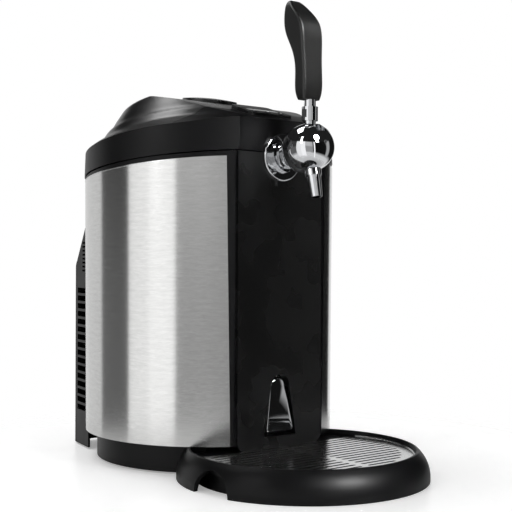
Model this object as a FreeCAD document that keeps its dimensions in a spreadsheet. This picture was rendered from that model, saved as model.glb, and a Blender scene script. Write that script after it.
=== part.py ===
"""Mini keg beer dispenser: a cooled cabinet with a hinged lid, a front tap and a drip tray.

Every sub-part is drawn about the vertical axis of the round cabinet, with the front towards -Y,
and then placed so that the origin lies on the floor under the middle of the whole machine.
"""
import FreeCAD, Part
import math
import os
import Sketcher

V = FreeCAD.Vector
DOC = FreeCAD.newDocument("MiniKegDispenser")
SHEET = DOC.addObject("Spreadsheet::Sheet", "Dims")

# Driving dimensions in millimetres, and angles in degrees.
DIMENSIONS = {
    # Where the cabinet stands
    "cabinet_axis_y": 69.7,
    "foot_height": 2.0,
    "foot_radius": 8.0,
    "foot_spread": 78.0,
    # Round cabinet
    "cabinet_low_radius": 137.5,
    "cabinet_high_radius": 139.4,
    "plinth_radius": 124.8,
    "plinth_wall": 3.0,
    "plinth_top": 30.7,
    "plinth_front": 100.0,
    "shelf_thickness": 3.0,
    "ledge_half_width": 78.0,
    "panel_skin": 1.0,
    "shell_wall": 2.5,
    "facet_distance": 127.6,
    "facet_half_width": 56.3,
    "front_panel_thickness": 2.5,
    "front_panel_bottom": 25.0,
    "front_panel_corner": 9.0,
    "front_panel_gap": 0.3,
    "niche_low_half_width": 21.0,
    "niche_top_radius": 12.5,
    "niche_bottom": 36.2,
    "niche_arch": 87.5,
    "niche_depth": 14.0,
    "niche_wall": 2.0,
    "drain_top_radius": 10.0,
    "drain_arch": 85.5,
    "drain_foot": 4.5,
    "drain_depth": 12.5,
    "drain_rim": 2.0,
    "drain_lip": 4.0,
    "chute_side_gap": 3.0,
    "panel_top_axis": 311.9,
    "panel_top_slope": 0.0964,
    "panel_front_low": 61.4,
    "panel_front_high": 67.0,
    "panel_rear": 97.0,
    "seam_axis": 317.0,
    "seam_slope": 0.1045,
    "seam_gap": 1.2,
    "band_low_radius": 139.6,
    "band_top_radius": 138.6,
    "band_wall": 4.0,
    "rim_axis": 344.4,
    "rim_slope": 0.137,
    # Lid
    "lid_gap": 0.6,
    "lid_wall": 3.0,
    "lid_split": 88.0,
    "split_lean": 0.13,
    "crown_front": 364.4,
    "crown_low": 376.6,
    "crown_mid": 391.3,
    "crown_top": 397.0,
    "hinge_y": 126.0,
    "hinge_z": 371.0,
    "hinge_radius": 6.0,
    "hinge_pin_radius": 2.0,
    "hinge_half_width": 50.0,
    "knuckle_width": 16.0,
    "hinge_drop": 9.0,
    "knob_radius": 31.0,
    "knob_thickness": 2.8,
    "knob_crown": 2.3,
    "knob_tilt": 7.7,
    "knob_top": 396.2,
    "knob_pedestal_radius": 26.0,
    "knob_stem_radius": 4.0,
    "regulator_radius": 16.0,
    "regulator_neck": 9.6,
    "sleeve_radius": 12.0,
    "liner_level": 372.0,
    "liner_radius": 95.0,
    # Cooling chamber
    "tub_radius": 86.0,
    "tub_wall": 1.2,
    "tub_floor": 52.0,
    "tub_top": 300.0,
    "foam_radius": 108.0,
    "collar_thickness": 3.0,
    "block_half_width": 30.0,
    "block_rear": 108.0,
    "cooler_centre": 155.0,
    "peltier_size": 40.0,
    "peltier_thickness": 4.0,
    "sink_size": 90.0,
    "sink_base": 6.0,
    "sink_depth": 20.0,
    "fin_count": 13,
    "fin_thickness": 1.6,
    "fan_size": 80.0,
    "fan_depth": 15.0,
    "fan_bore": 37.5,
    "fan_hub": 16.0,
    "blade_tip": 36.5,
    # Rear hood
    "hood_front": 97.4,
    "hood_half_width": 100.0,
    "hood_rear_half_width": 93.0,
    "hood_rear": 150.0,
    "hood_wall": 2.5,
    "hood_corner": 12.0,
    "hood_top": 272.0,
    "hood_shoulder": 200.0,
    "window_drop": 6.0,
    "louvre_pitch": 9.1,
    "louvre_height": 6.3,
    "louvre_first": 42.0,
    "louvre_count": 16,
    "grille_half_width": 44.0,
    "grille_skip": 8.0,
    "grille_count": 8.0,
    "inlet_x": 64.0,
    "inlet_z": 59.0,
    "inlet_half_width": 14.0,
    "inlet_half_height": 11.0,
    "inlet_depth": 18.0,
    "vent_pitch": 4.6,
    "vent_height": 2.2,
    "vent_first": 204.0,
    "vent_count": 8,
    # Tap
    "tap_height": 325.0,
    "tap_tilt": 10.0,
    "tap_pivot": 41.4,
    "flange_radius": 24.5,
    "flange_thickness": 4.0,
    "neck_radius": 14.5,
    "barrel_radius": 24.4,
    "barrel_rear": 20.0,
    "barrel_length": 45.0,
    "barrel_seam": 36.0,
    "shank_radius": 8.0,
    "shank_bore": 4.6,
    "shank_tail": 96.0,
    "hose_radius": 7.6,
    "hose_bend": 18.0,
    "coupler_reach": 26.0,
    "coupler_radius": 13.0,
    "barb_radius": 5.6,
    "nut_width": 26.0,
    "nut_thickness": 8.0,
    "ball_radius": 10.0,
    "ball_clearance": 0.4,
    "stem_radius": 6.0,
    "lever_pin_radius": 2.0,
    "pin_clearance": 0.05,
    "lever_range": 35.0,
    "collar_start": 26.6,
    "collar_radius": 8.2,
    "collar_height": 14.0,
    "plunger_radius": 3.0,
    "plunger_gap": 11.5,
    "plunger_head": 6.0,
    "spout_tilt": 12.0,
    "spout_radius": 7.0,
    "spout_tip_radius": 6.0,
    "spout_bore": 4.5,
    "spout_length": 30.0,
    "handle_top": 483.5,
    "handle_bottom": 380.0,
    "handle_half_width": 14.1,
    # Drip tray
    "tray_axis": 163.4,
    "tray_radius": 127.8,
    "tray_rim_radius": 117.0,
    "tray_height": 30.0,
    "tray_wall": 3.0,
    "tray_gap": 0.6,
    "tray_foot": 6.0,
    "tray_curve": 34.0,
    "tray_edge": 2.6,
    "back_half_width": 78.0,
    "plate_radius": 113.0,
    "plate_ledge": 6.0,
    "plate_back_gap": 1.0,
    "shelf_half_width": 104.0,
    "plate_gap": 0.6,
    "plate_rim": 1.2,
    "plate_rim_height": 1.0,
    "slot_margin": 14.0,
    "slot_rib": 8.0,
    "plate_thickness": 1.2,
    "plate_level": 25.0,
    "slot_pitch": 9.0,
    "slot_width": 3.6,
    "scoop_radius": 23.0,
    "scoop_distance": 177.0,
    "scoop_depth": 12.0,
}


# The dome's side as radius and height over the band's edge: a flare, a steep wall and a soft shoulder.
DOME_ROWS = [(126.8, 7.5), (119.5, 13.0), (115.0, 19.0), (109.5, 24.0), (105.5, 29.5), (102.0, 34.5),
             (98.9, 38.6), (96.2, 42.4), (93.0, 45.4), (89.0, 47.8), (83.5, 50.0), (76.0, 52.2), (66.0, 54.6)]
# The crown's line seen from the side, as depth from the cabinet's axis and height.
CROWN_ROWS = [(-110.0, 370.0), (-88.0, 376.6), (-60.0, 384.8), (-31.0, 391.3), (0.0, 395.3), (30.0, 397.0),
              (60.0, 396.6), (100.0, 393.0), (150.0, 384.0)]
# The control pad's sloping face seen from the side, from its front edge to its rear edge.
PAD_FACE = [(-112.0, 372.2), (-72.0, 385.4)]
PAD_HALF_WIDTHS = (30.0, 25.0)


class Size:
    """A number together with the sheet formula that gives it."""

    def __init__(self, number, text=None):
        self.number = float(number)
        self.text = text if text is not None else "(%.6f)" % self.number

    @staticmethod
    def of(value):
        return value if isinstance(value, Size) else Size(value)

    def __add__(self, other):
        other = Size.of(other)
        return Size(self.number + other.number, "(%s + %s)" % (self.text, other.text))

    def __sub__(self, other):
        other = Size.of(other)
        return Size(self.number - other.number, "(%s - %s)" % (self.text, other.text))

    def __mul__(self, other):
        other = Size.of(other)
        return Size(self.number * other.number, "(%s * %s)" % (self.text, other.text))

    def __truediv__(self, other):
        other = Size.of(other)
        return Size(self.number / other.number, "(%s / %s)" % (self.text, other.text))

    def __neg__(self):
        return Size(-self.number, "(0 - %s)" % self.text)

    __radd__ = __add__

    def __rsub__(self, other):
        return Size.of(other) - self

    __rmul__ = __mul__


class Dimensions:
    """Gives each cell of the sheet as an attribute."""

    def __getattr__(self, alias):
        return Size(SHEET.get(alias), "Dims." + alias)


def fill_sheet():
    for row, (alias, value) in enumerate(DIMENSIONS.items(), start=1):
        SHEET.set("A%d" % row, alias.replace("_", " "))
        SHEET.set("B%d" % row, str(value))
        SHEET.setAlias("B%d" % row, alias)
    DOC.recompute()


fill_sheet()
D = Dimensions()
PLANES = {
    "XY": ("XY_Plane", FreeCAD.Rotation()),
    "XZ": ("XZ_Plane", FreeCAD.Rotation(V(1, 0, 0), 90)),
    "YZ": ("YZ_Plane", FreeCAD.Rotation(V(1, 1, 1), 120)),
}
PARTS = []


def root(value):
    """The square root of a size."""
    value = Size.of(value)
    return Size(math.sqrt(value.number), "sqrt(%s)" % value.text)


def seam_at(y):
    """Height of the seam under the top band at a distance y along the depth."""
    return D.seam_axis - D.seam_slope * y


def panel_top_at(y):
    """Height of the steel panels' upper edge."""
    return D.panel_top_axis - D.panel_top_slope * y


def rim_at(y):
    """Height of the band's upper edge, where the lid rests."""
    return D.rim_axis - D.rim_slope * y


def bind(target, property_name, value):
    """Ties a property to the sheet."""
    target.setExpression(property_name, Size.of(value).text)


def new_sketch(owner, plane, offset, name):
    """An empty sketch, on a plane of its own body or free in the document."""
    role, turn = PLANES[plane]
    if owner is None:
        sketch = DOC.addObject("Sketcher::SketchObject", name)
        shift = turn.multVec(V(0, 0, Size.of(offset).number))
        sketch.Placement = FreeCAD.Placement(shift, turn)
        return sketch
    sketch = owner.newObject("Sketcher::SketchObject", name)
    support = [f for f in owner.Origin.OriginFeatures if f.Role == role][0]
    sketch.AttachmentSupport = [(support, "")]
    sketch.MapMode = "FlatFace"
    bind(sketch, "AttachmentOffset.Base.z", offset)
    return sketch


def pin_point(sketch, geometry, end, x, y):
    """Holds one point of a sketch at a place given by the sheet."""
    for kind, value, axis in (("DistanceX", Size.of(x), -2), ("DistanceY", Size.of(y), -1)):
        if value.number == 0:
            sketch.addConstraint(Sketcher.Constraint("PointOnObject", geometry, end, axis))
        else:
            index = sketch.addConstraint(Sketcher.Constraint(kind, geometry, end, value.number))
            sketch.setExpression("Constraints[%d]" % index, value.text)


class Bow:
    """An outline's corner whose next edge is an arc of a given radius, left or right turning."""

    def __init__(self, x, y, radius, turn=1):
        self.x = x
        self.y = y
        self.radius = Size.of(radius)
        self.turn = turn


def draw_outline(sketch, corners):
    """A closed outline of lines and arcs through the corners."""
    ends = [(c.x, c.y) if isinstance(c, Bow) else (c[0], c[1]) for c in corners]
    count = len(ends)
    first = sketch.GeometryCount
    for i, corner in enumerate(corners):
        a = V(*[Size.of(v).number for v in ends[i]], 0)
        b = V(*[Size.of(v).number for v in ends[(i + 1) % count]], 0)
        if isinstance(corner, Bow):
            radius = corner.radius.number
            chord = b - a
            side = V(chord.y, -chord.x, 0).normalize() * corner.turn
            sag = radius - math.sqrt(max(radius ** 2 - (chord.Length / 2) ** 2, 0))
            middle = (a + b) * 0.5 + side * sag
            sketch.addGeometry(Part.Arc(a, middle, b), False)
        else:
            sketch.addGeometry(Part.LineSegment(a, b), False)
    starts = []
    for i, corner in enumerate(corners):
        geometry = first + i
        start = 1
        if isinstance(corner, Bow) and corner.turn < 0:
            start = 2
        starts.append((geometry, start, 3 - start))
    for i in range(count):
        here = starts[i]
        after = starts[(i + 1) % count]
        sketch.addConstraint(Sketcher.Constraint("Coincident", here[0], here[2], after[0], after[1]))
    for i, corner in enumerate(corners):
        pin_point(sketch, starts[i][0], starts[i][1], *ends[i])
        if isinstance(corner, Bow):
            hold_arc(sketch, starts[i][0], corner, ends[i], ends[(i + 1) % count])
    return sketch


def hold_arc(sketch, geometry, corner, start, end):
    """Ties an arc's radius, or its centre's height where it is a half circle on a level chord."""
    width = abs(Size.of(start[0]).number - Size.of(end[0]).number)
    if abs(width - 2 * corner.radius.number) < 0.001:
        height = Size.of(start[1])
        index = sketch.addConstraint(Sketcher.Constraint("DistanceY", geometry, 3, height.number))
        sketch.setExpression("Constraints[%d]" % index, height.text)
        return
    index = sketch.addConstraint(Sketcher.Constraint("Radius", geometry, corner.radius.number))
    sketch.setExpression("Constraints[%d]" % index, corner.radius.text)


def draw_circle(sketch, radius, x=0, y=0):
    radius = Size.of(radius)
    centre = V(Size.of(x).number, Size.of(y).number, 0)
    index = sketch.addGeometry(Part.Circle(centre, V(0, 0, 1), radius.number), False)
    pin_point(sketch, index, 3, x, y)
    constraint = sketch.addConstraint(Sketcher.Constraint("Radius", index, radius.number))
    sketch.setExpression("Constraints[%d]" % constraint, radius.text)
    return sketch


def box_corners(x_low, x_high, y_low, y_high):
    return [(x_low, y_low), (x_high, y_low), (x_high, y_high), (x_low, y_high)]


def new_body(label):
    body = DOC.addObject("PartDesign::Body", label)
    body.Label = label
    return body


def name_in(body, word):
    return "%s_%s" % (body.Name, word)


def outline_in(body, word, plane, offset, corners):
    return draw_outline(new_sketch(body, plane, offset, name_in(body, word)), corners)


def circles_in(body, word, plane, offset, circles):
    sketch = new_sketch(body, plane, offset, name_in(body, word))
    for circle in circles:
        draw_circle(sketch, *circle)
    return sketch


def pad(body, sketch, length, reverse=False, symmetric=False, taper=None):
    feature = body.newObject("PartDesign::Pad", sketch.Name + "_pad")
    feature.Profile = sketch
    bind(feature, "Length", length)
    feature.Reversed = reverse
    if symmetric:
        feature.SideType = "Symmetric"
    if taper is not None:
        bind(feature, "TaperAngle", taper)
    sketch.Visibility = False
    return feature


def pocket(body, sketch, length=None, reverse=False, symmetric=False):
    feature = body.newObject("PartDesign::Pocket", sketch.Name + "_pocket")
    feature.Profile = sketch
    if length is None:
        feature.Type = "ThroughAll"
    else:
        bind(feature, "Length", length)
    feature.Reversed = reverse
    if symmetric:
        feature.SideType = "Symmetric"
    return feature


def revolve(body, sketch, groove=False, axis="V_Axis"):
    kind = "PartDesign::Groove" if groove else "PartDesign::Revolution"
    feature = body.newObject(kind, sketch.Name + "_turn")
    feature.Profile = sketch
    feature.ReferenceAxis = (sketch, [axis])
    feature.Angle = 360.0
    return feature


def repeat(body, feature, sketch, direction, length, count):
    pattern = body.newObject("PartDesign::LinearPattern", feature.Name + "_row")
    pattern.Originals = [feature]
    pattern.Direction = (sketch, [direction])
    bind(pattern, "Length", length)
    pattern.Occurrences = int(Size.of(count).number)
    body.Tip = pattern
    return pattern


def soften(body, picker, radius, chamfer=False):
    """Rounds or bevels the edges of the body's tip that the picker chooses."""
    DOC.recompute()
    tip = body.Tip
    names = ["Edge%d" % (i + 1) for i, edge in enumerate(tip.Shape.Edges) if picker(edge)]
    if not names:
        raise RuntimeError("no edge to soften on " + body.Label)
    kind = "PartDesign::Chamfer" if chamfer else "PartDesign::Fillet"
    feature = body.newObject(kind, "%s_soft%d" % (body.Name, len(body.Group)))
    feature.Base = (tip, names)
    bind(feature, "Size" if chamfer else "Radius", radius)
    return feature


def keep(label, item, shift=0):
    """Names a sub-part and places it on the cabinet's axis, or a distance behind it."""
    item.Label = label
    bind(item, "Placement.Base.y", D.cabinet_axis_y + shift)
    PARTS.append((label, item))
    return item


def keep_shape(label, shape, shift=0):
    """A sub-part whose form is worked out here from the sheet's sizes."""
    item = DOC.addObject("Part::Feature", label)
    item.Shape = shape
    return keep(label, item, shift)


def num(value):
    return Size.of(value).number


def at(x, forward, z):
    """A point by its distance in front of the cabinet's axis."""
    return V(num(x), -num(forward), num(z))


def cylinder_y(radius, near, far, x=0, z=0):
    """A round bar along the depth, from one distance in front of the axis to another."""
    start = at(x, near, z)
    return Part.makeCylinder(num(radius), num(far) - num(near), start, V(0, -1, 0))


def block(x_low, x_high, y_low, y_high, z_low, z_high):
    x0, x1, y0, y1, z0, z1 = (num(v) for v in (x_low, x_high, y_low, y_high, z_low, z_high))
    return Part.makeBox(x1 - x0, y1 - y0, z1 - z0, V(x0, y0, z0))


def spin_profile(points, axis_point, axis):
    """A solid turned from a closed chain of points."""
    wire = Part.makePolygon(points + points[:1])
    return Part.Face(wire).revolve(axis_point, axis, 360)


# Cabinet
def shelf_top():
    return D.plinth_top + D.shelf_thickness


def shell_radius(inset):
    low = D.cabinet_low_radius - D.panel_skin - inset
    high = D.cabinet_high_radius - D.panel_skin - inset
    return low, high


def make_plinth():
    body = new_body("base_plinth")
    disc = circles_in(body, "disc", "XY", D.foot_height, [(D.plinth_radius,)])
    pad(body, disc, D.plinth_top - D.foot_height)
    hollow = circles_in(body, "hollow", "XY", D.foot_height, [(D.plinth_radius - D.plinth_wall,)])
    pocket(body, hollow, D.plinth_top - D.foot_height - D.plinth_wall, reverse=True)
    posts = circles_in(body, "posts", "XY", D.foot_height, [
        (D.foot_radius + 2, sx * D.foot_spread, sy * D.foot_spread)
        for sx in (-1, 1) for sy in (-1, 1)])
    pad(body, posts, D.plinth_top - D.foot_height)
    low = shell_radius(D.shell_wall)[0]
    shelf = circles_in(body, "shelf", "XY", D.plinth_top, [(low,)])
    pad(body, shelf, D.shelf_thickness)
    rear = D.hood_rear - D.hood_wall
    ledge = outline_in(body, "ledge", "XY", D.plinth_top, box_corners(
        -D.ledge_half_width, D.ledge_half_width, D.plinth_front - 40, rear))
    pad(body, ledge, D.shelf_thickness)
    front = outline_in(body, "front", "XY", D.foot_height, box_corners(
        -D.tray_radius, D.tray_radius, -D.tray_axis, -D.plinth_front))
    pocket(body, front, D.plinth_top - D.foot_height, reverse=True)
    wall = outline_in(body, "wall", "XY", D.foot_height, box_corners(
        -(D.plinth_radius * 0.55), D.plinth_radius * 0.55,
        -D.plinth_front, -(D.plinth_front - D.plinth_wall)))
    pad(body, wall, D.plinth_top - D.foot_height)
    flat = outline_in(body, "flat", "XY", D.plinth_top, box_corners(
        -D.tray_radius, D.tray_radius, -D.tray_axis,
        -(D.facet_distance - D.front_panel_thickness - D.shell_wall)))
    pocket(body, flat, D.shelf_thickness, reverse=True)
    keep("base_plinth", body)


def make_feet():
    feet = []
    for sx in (-1, 1):
        for sy in (-1, 1):
            spot = V(sx * num(D.foot_spread), sy * num(D.foot_spread), 0)
            feet.append(Part.makeCylinder(num(D.foot_radius), num(D.foot_height), spot))
    keep_shape("rubber_feet", Part.makeCompound(feet))


def slanted_ring(body, word, inset, wall, bottom, top):
    """A ring whose radius grows from the cabinet's foot to its seam."""
    low, high = shell_radius(inset)
    sketch = outline_in(body, word, "XZ", 0, [
        (low - wall, bottom), (low, bottom), (high, top), (high - wall, top)])
    return revolve(body, sketch)


def cut_above(body, word, line):
    """Removes all above a sloping line, seen from the side."""
    reach = D.hood_rear + 60
    tall = D.crown_top + 60
    sketch = outline_in(body, word, "YZ", 0, [
        (-reach, line(-reach)), (reach, line(reach)), (reach, tall), (-reach, tall)])
    return pocket(body, sketch, reach * 4, symmetric=True)


def make_shell():
    body = new_body("outer_shell")
    top = D.rim_axis
    slanted_ring(body, "ring", Size(0), D.shell_wall, D.plinth_top, top)
    facet = D.facet_distance - D.front_panel_thickness
    nose = outline_in(body, "nose", "XY", 0, box_corners(
        -D.cabinet_high_radius, D.cabinet_high_radius, -(D.cabinet_high_radius + 5), -facet))
    pocket(body, nose, top * 2, symmetric=True)
    half = D.facet_half_width + 1.5
    wall = outline_in(body, "wall", "XZ", facet - D.shell_wall, box_corners(
        -half, half, D.plinth_top, top))
    pad(body, wall, D.shell_wall)
    cut_above(body, "upper", lambda y: seam_at(y) - D.seam_gap)
    reach = D.hood_rear + 60
    window = outline_in(body, "window", "YZ", 0, [
        (D.panel_rear, Size(-10)), (reach, Size(-10)), (reach, D.hood_shoulder - D.window_drop),
        (D.hood_rear, D.hood_shoulder - D.window_drop), (D.panel_rear, D.hood_top - D.window_drop)])
    pocket(body, window, reach * 4, symmetric=True)
    niche = outline_in(body, "niche", "XZ", facet - D.shell_wall - 5,
                       niche_corners(D.niche_wall + D.front_panel_gap))
    pocket(body, niche, D.shell_wall + 10, reverse=True)
    hole = circles_in(body, "hole", "XZ", facet - D.shell_wall - 5,
                      [(D.shank_radius + D.front_panel_gap, 0, D.tap_height)])
    pocket(body, hole, D.shell_wall + 10, reverse=True)
    keep("outer_shell", body)


def make_side_panel(label, side):
    body = new_body(label)
    slanted_ring(body, "ring", -D.panel_skin, D.panel_skin, D.plinth_top, D.rim_axis)
    cut_above(body, "upper", panel_top_at)
    reach = D.cabinet_high_radius + 20
    rear = outline_in(body, "rear", "YZ", 0, box_corners(D.panel_rear, reach, Size(-10), D.crown_top))
    pocket(body, rear, reach * 4, symmetric=True)
    reach = D.cabinet_high_radius + 20
    front = outline_in(body, "front", "XZ", 0, [
        (side * (D.panel_front_low), D.plinth_top - 5),
        (side * (D.panel_front_high), D.rim_axis),
        (-side * reach, D.rim_axis + 5), (-side * reach, D.plinth_top - 5)])
    pocket(body, front, reach * 2, symmetric=True)
    keep(label, body)


def niche_corners(grow):
    """The tapered opening with an arched top in which the drain spout stands."""
    low = D.niche_low_half_width + grow
    high = D.niche_top_radius + grow
    return [(-low, D.niche_bottom - grow), (low, D.niche_bottom - grow),
            Bow(high, D.niche_arch, high, 1), (-high, D.niche_arch)]


def make_front_panel():
    body = new_body("front_panel")
    back = D.facet_distance - D.front_panel_thickness
    half = D.facet_half_width - D.front_panel_gap
    corner = D.front_panel_corner
    top = seam_at(-D.facet_distance) - D.seam_gap
    plate = outline_in(body, "plate", "XZ", back, [
        (half, D.front_panel_bottom + corner), (half, top), (-half, top),
        Bow(-half, D.front_panel_bottom + corner, corner, 1),
        (-(half - corner), D.front_panel_bottom),
        Bow(half - corner, D.front_panel_bottom, corner, 1)])
    pad(body, plate, D.front_panel_thickness)
    depth = D.niche_depth + D.niche_wall
    box = outline_in(body, "box", "XZ", back - depth, niche_corners(D.niche_wall))
    pad(body, box, depth)
    hollow = outline_in(body, "hollow", "XZ", back - D.niche_depth, niche_corners(Size(0)))
    pocket(body, hollow, depth + 10, reverse=True)
    hole = circles_in(body, "hole", "XZ", back - 1,
                      [(D.shank_radius + D.front_panel_gap, 0, D.tap_height)])
    pocket(body, hole, D.front_panel_thickness + 5, reverse=True)
    keep("front_panel", body)


def chute_prism(inset, near, far):
    """The chute's arched outline, inset evenly, between two distances in front of the axis."""
    low = num(D.niche_low_half_width) - num(D.chute_side_gap) - inset
    high = num(D.drain_top_radius) - inset
    arch = num(D.drain_arch)
    bottom = num(D.niche_bottom) + num(D.drain_foot) + inset
    spots = [V(-low, -near, bottom), V(low, -near, bottom), V(high, -near, arch), V(-high, -near, arch)]
    edges = [Part.LineSegment(spots[0], spots[1]).toShape(), Part.LineSegment(spots[1], spots[2]).toShape(),
             Part.Arc(spots[2], V(0, -near, arch + high), spots[3]).toShape(),
             Part.LineSegment(spots[3], spots[0]).toShape()]
    return Part.Face(Part.Wire(edges)).extrude(V(0, near - far, 0))


def make_drain_spout():
    """The bright chute that lets drained water run out over its flared lip."""
    back = num(D.facet_distance) - num(D.front_panel_thickness) - num(D.niche_depth)
    face = back + num(D.drain_depth)
    lip = face + num(D.drain_lip)
    bottom = num(D.niche_bottom) + num(D.drain_foot)
    rim = num(D.drain_rim)
    solid = chute_prism(0, back, lip)
    ahead = side_prism([(-300, 200), (-face, 200), (-face, bottom + 24), (-face - 1.2, bottom + 14),
                        (-lip, bottom + 3), (-lip + 1, bottom - 1), (-300, bottom - 1)])
    hollow = chute_prism(rim, back + 2, lip + 5)
    floor = side_prism([(0, 200), (-back - 6, 200), (-back - 3.4, bottom + 40), (-back - 3.4, bottom + 24),
                        (-back - 6, bottom + 12), (-lip + 2.6, bottom + rim), (-lip + 2.6, 0), (0, 0)])
    keep_shape("drain_spout", solid.cut(ahead).cut(hollow.cut(floor)))


def hood_form(inset):
    """The hood's outer form, or its hollow, as a plan outline under a sloping roof."""
    half = num(D.hood_half_width) - inset
    rear_half = num(D.hood_rear_half_width) - inset
    rear = num(D.hood_rear) - inset
    front = num(D.hood_front) - (1 if inset else 0)
    corner = num(D.hood_corner) - inset
    floor = num(D.foot_height)
    bottom = floor - (1 if inset else 0)
    points = [V(-half, front, bottom), V(-rear_half, rear - corner, bottom),
              V(-rear_half + corner, rear, bottom), V(rear_half - corner, rear, bottom),
              V(rear_half, rear - corner, bottom), V(half, front, bottom)]
    bow = corner * (1 - math.sqrt(0.5))
    left = Part.Arc(points[1], V(-rear_half + bow, rear - bow, bottom), points[2])
    right = Part.Arc(points[3], V(rear_half - bow, rear - bow, bottom), points[4])
    lines = [Part.LineSegment(points[i], points[i + 1]) for i in (0, 2, 4)]
    edges = [lines[0], left, lines[1], right, lines[2], Part.LineSegment(points[5], points[0])]
    plan = Part.Face(Part.Wire([edge.toShape() for edge in edges]))
    tall = plan.extrude(V(0, 0, num(D.hood_top) + 40))
    drop = inset * 1.3
    roof = side_prism([(0, num(D.hood_top) + 60), (0, num(D.hood_top) + 55 - drop),
                       (num(D.hood_front), num(D.hood_top) - drop),
                       (num(D.hood_front) + 38, num(D.hood_shoulder) + 20 - drop),
                       (rear, num(D.hood_shoulder) - drop), (rear + 60, num(D.hood_shoulder) - drop),
                       (rear + 60, num(D.hood_top) + 60)])
    return tall.cut(roof)


def slot_row(x_low, x_high, y_low, y_high, first, height, pitch, count):
    """Level slots, one above the other."""
    slots = []
    for i in range(int(num(count))):
        z = num(first) + i * num(pitch)
        slots.append(block(x_low, x_high, y_low, y_high, z, z + num(height)))
    return slots


def make_hood():
    """The louvred rear housing round the cooler."""
    hood = hood_form(0).cut(hood_form(num(D.hood_wall)))
    wide = D.hood_half_width + 10
    slots = slot_row(-wide, wide, D.hood_front + 5, D.hood_rear - D.hood_corner - 3,
                     D.louvre_first, D.louvre_height, D.louvre_pitch, D.louvre_count)
    slots += slot_row(-wide, wide, D.hood_front + 5, D.hood_front + 22,
                      D.vent_first, D.vent_height, D.vent_pitch, D.vent_count)
    grille = D.louvre_first + D.louvre_pitch * D.grille_skip
    slots += slot_row(-D.grille_half_width, D.grille_half_width, D.hood_rear - D.hood_wall - 2,
                      D.hood_rear + 5, grille, D.louvre_height, D.louvre_pitch, D.grille_count)
    socket = block(D.inlet_x - D.inlet_half_width, D.inlet_x + D.inlet_half_width,
                   D.hood_rear - D.hood_wall - 2, D.hood_rear + 5,
                   D.inlet_z - D.inlet_half_height, D.inlet_z + D.inlet_half_height)
    low, high = shell_radius(Size(0))
    core = spin_profile([V(0, 0, num(D.plinth_top)), V(num(low), 0, num(D.plinth_top)),
                         V(num(high), 0, num(D.rim_axis)), V(0, 0, num(D.rim_axis))], V(0, 0, 0), V(0, 0, 1))
    bottom = Part.makeCylinder(num(D.plinth_radius), num(D.plinth_top) + 2)
    hood = hood.cut(Part.makeCompound(slots)).cut(socket).cut(core).cut(bottom)
    keep_shape("rear_hood", hood)


def make_top_ring():
    """The moulded band, with the fixed front deck that carries the controls."""
    wall = num(D.band_wall)
    seam = num(seam_at(0))
    low = num(D.band_low_radius)
    high = num(D.band_top_radius)
    bottom = seam - 20
    top = num(D.crown_top)
    slope = (high - low) / (num(rim_at(0)) - seam)
    ring = spin_profile([
        V(low + slope * (bottom - seam) - wall, 0, bottom), V(low + slope * (bottom - seam), 0, bottom),
        V(low + slope * (top - seam), 0, top), V(low + slope * (top - seam) - wall, 0, top)],
        V(0, 0, 0), V(0, 0, 1))
    front = num(D.facet_distance)
    ring = ring.cut(block(-200, 200, -200, -D.facet_distance, 0, 500))
    half = math.sqrt(high ** 2 - front ** 2)
    facet = block(-half, half, -D.facet_distance, -(D.facet_distance - D.band_wall), bottom, top)
    ring = ring.fuse(facet)
    below = side_prism([(-200, num(seam_at(-200))), (200, num(seam_at(200))), (200, 200), (-200, 200)])
    bend = -100
    above = side_prism([(-200, num(D.crown_front)), (-front, num(D.crown_front)), (bend, num(rim_at(bend))),
                        (200, num(rim_at(200))), (200, 600), (-200, 600)])
    ring = ring.cut(below).cut(above)
    ring = ring.fuse(ring_spigot())
    ring = ring.cut(cylinder_y(D.shank_radius + D.front_panel_gap, 100, front + 5, 0, D.tap_height))
    gap = num(D.lid_gap) / 2
    front_side = ahead_of_split(gap)
    deck = dome(0).cut(dome(num(D.lid_wall))).common(front_side)
    lip = dome(num(D.lid_wall)).cut(dome(num(D.lid_wall) + 6))
    lip = lip.common(front_side).cut(ahead_of_split(gap + 3))
    ring = ring.fuse(deck).fuse(lip)
    ring = ring.fuse(fixed_hinge().cut(band_hollow(bottom))).removeSplitter()
    keep_shape("top_ring", ring)
    reach = num(D.hinge_half_width)
    keep_shape("hinge_pin", Part.makeCylinder(num(D.hinge_pin_radius), 2 * reach, hinge_axis(-reach), V(1, 0, 0)))


def band_hollow(bottom):
    """The free room inside the band, below its edge."""
    return Part.makeCylinder(num(D.band_low_radius) - num(D.band_wall) - 2, 8, V(0, 0, bottom))


def ring_spigot():
    """The band's inner foot, which stands on the collar inside the shell."""
    foot = num(D.tub_top + D.tub_wall + D.collar_thickness)
    outer = num(shell_radius(D.shell_wall)[1]) - 0.4
    tall = num(seam_at(0)) + 8 - foot
    tube = Part.makeCylinder(outer, tall, V(0, 0, foot)).cut(Part.makeCylinder(outer - 3, tall, V(0, 0, foot)))
    return tube.cut(block(-200, 200, -200, -(D.facet_distance - 12), 0, 500))


def side_prism(points, half=220):
    """A prism across the whole width from an outline seen from the side."""
    corners = [V(-half, y, z) for y, z in points]
    face = Part.Face(Part.makePolygon(corners + corners[:1]))
    return face.extrude(V(2 * half, 0, 0))


def ahead_of_split(gap):
    """All that lies in front of the leaning joint between the fixed deck and the lid."""
    top = -num(D.lid_split) - gap
    lean = num(D.split_lean)
    level = num(D.crown_low)
    return side_prism([(-300, 100), (top + lean * (level - 100), 100), (top, level),
                       (top - lean * 200, level + 200), (-300, level + 200)])


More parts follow.
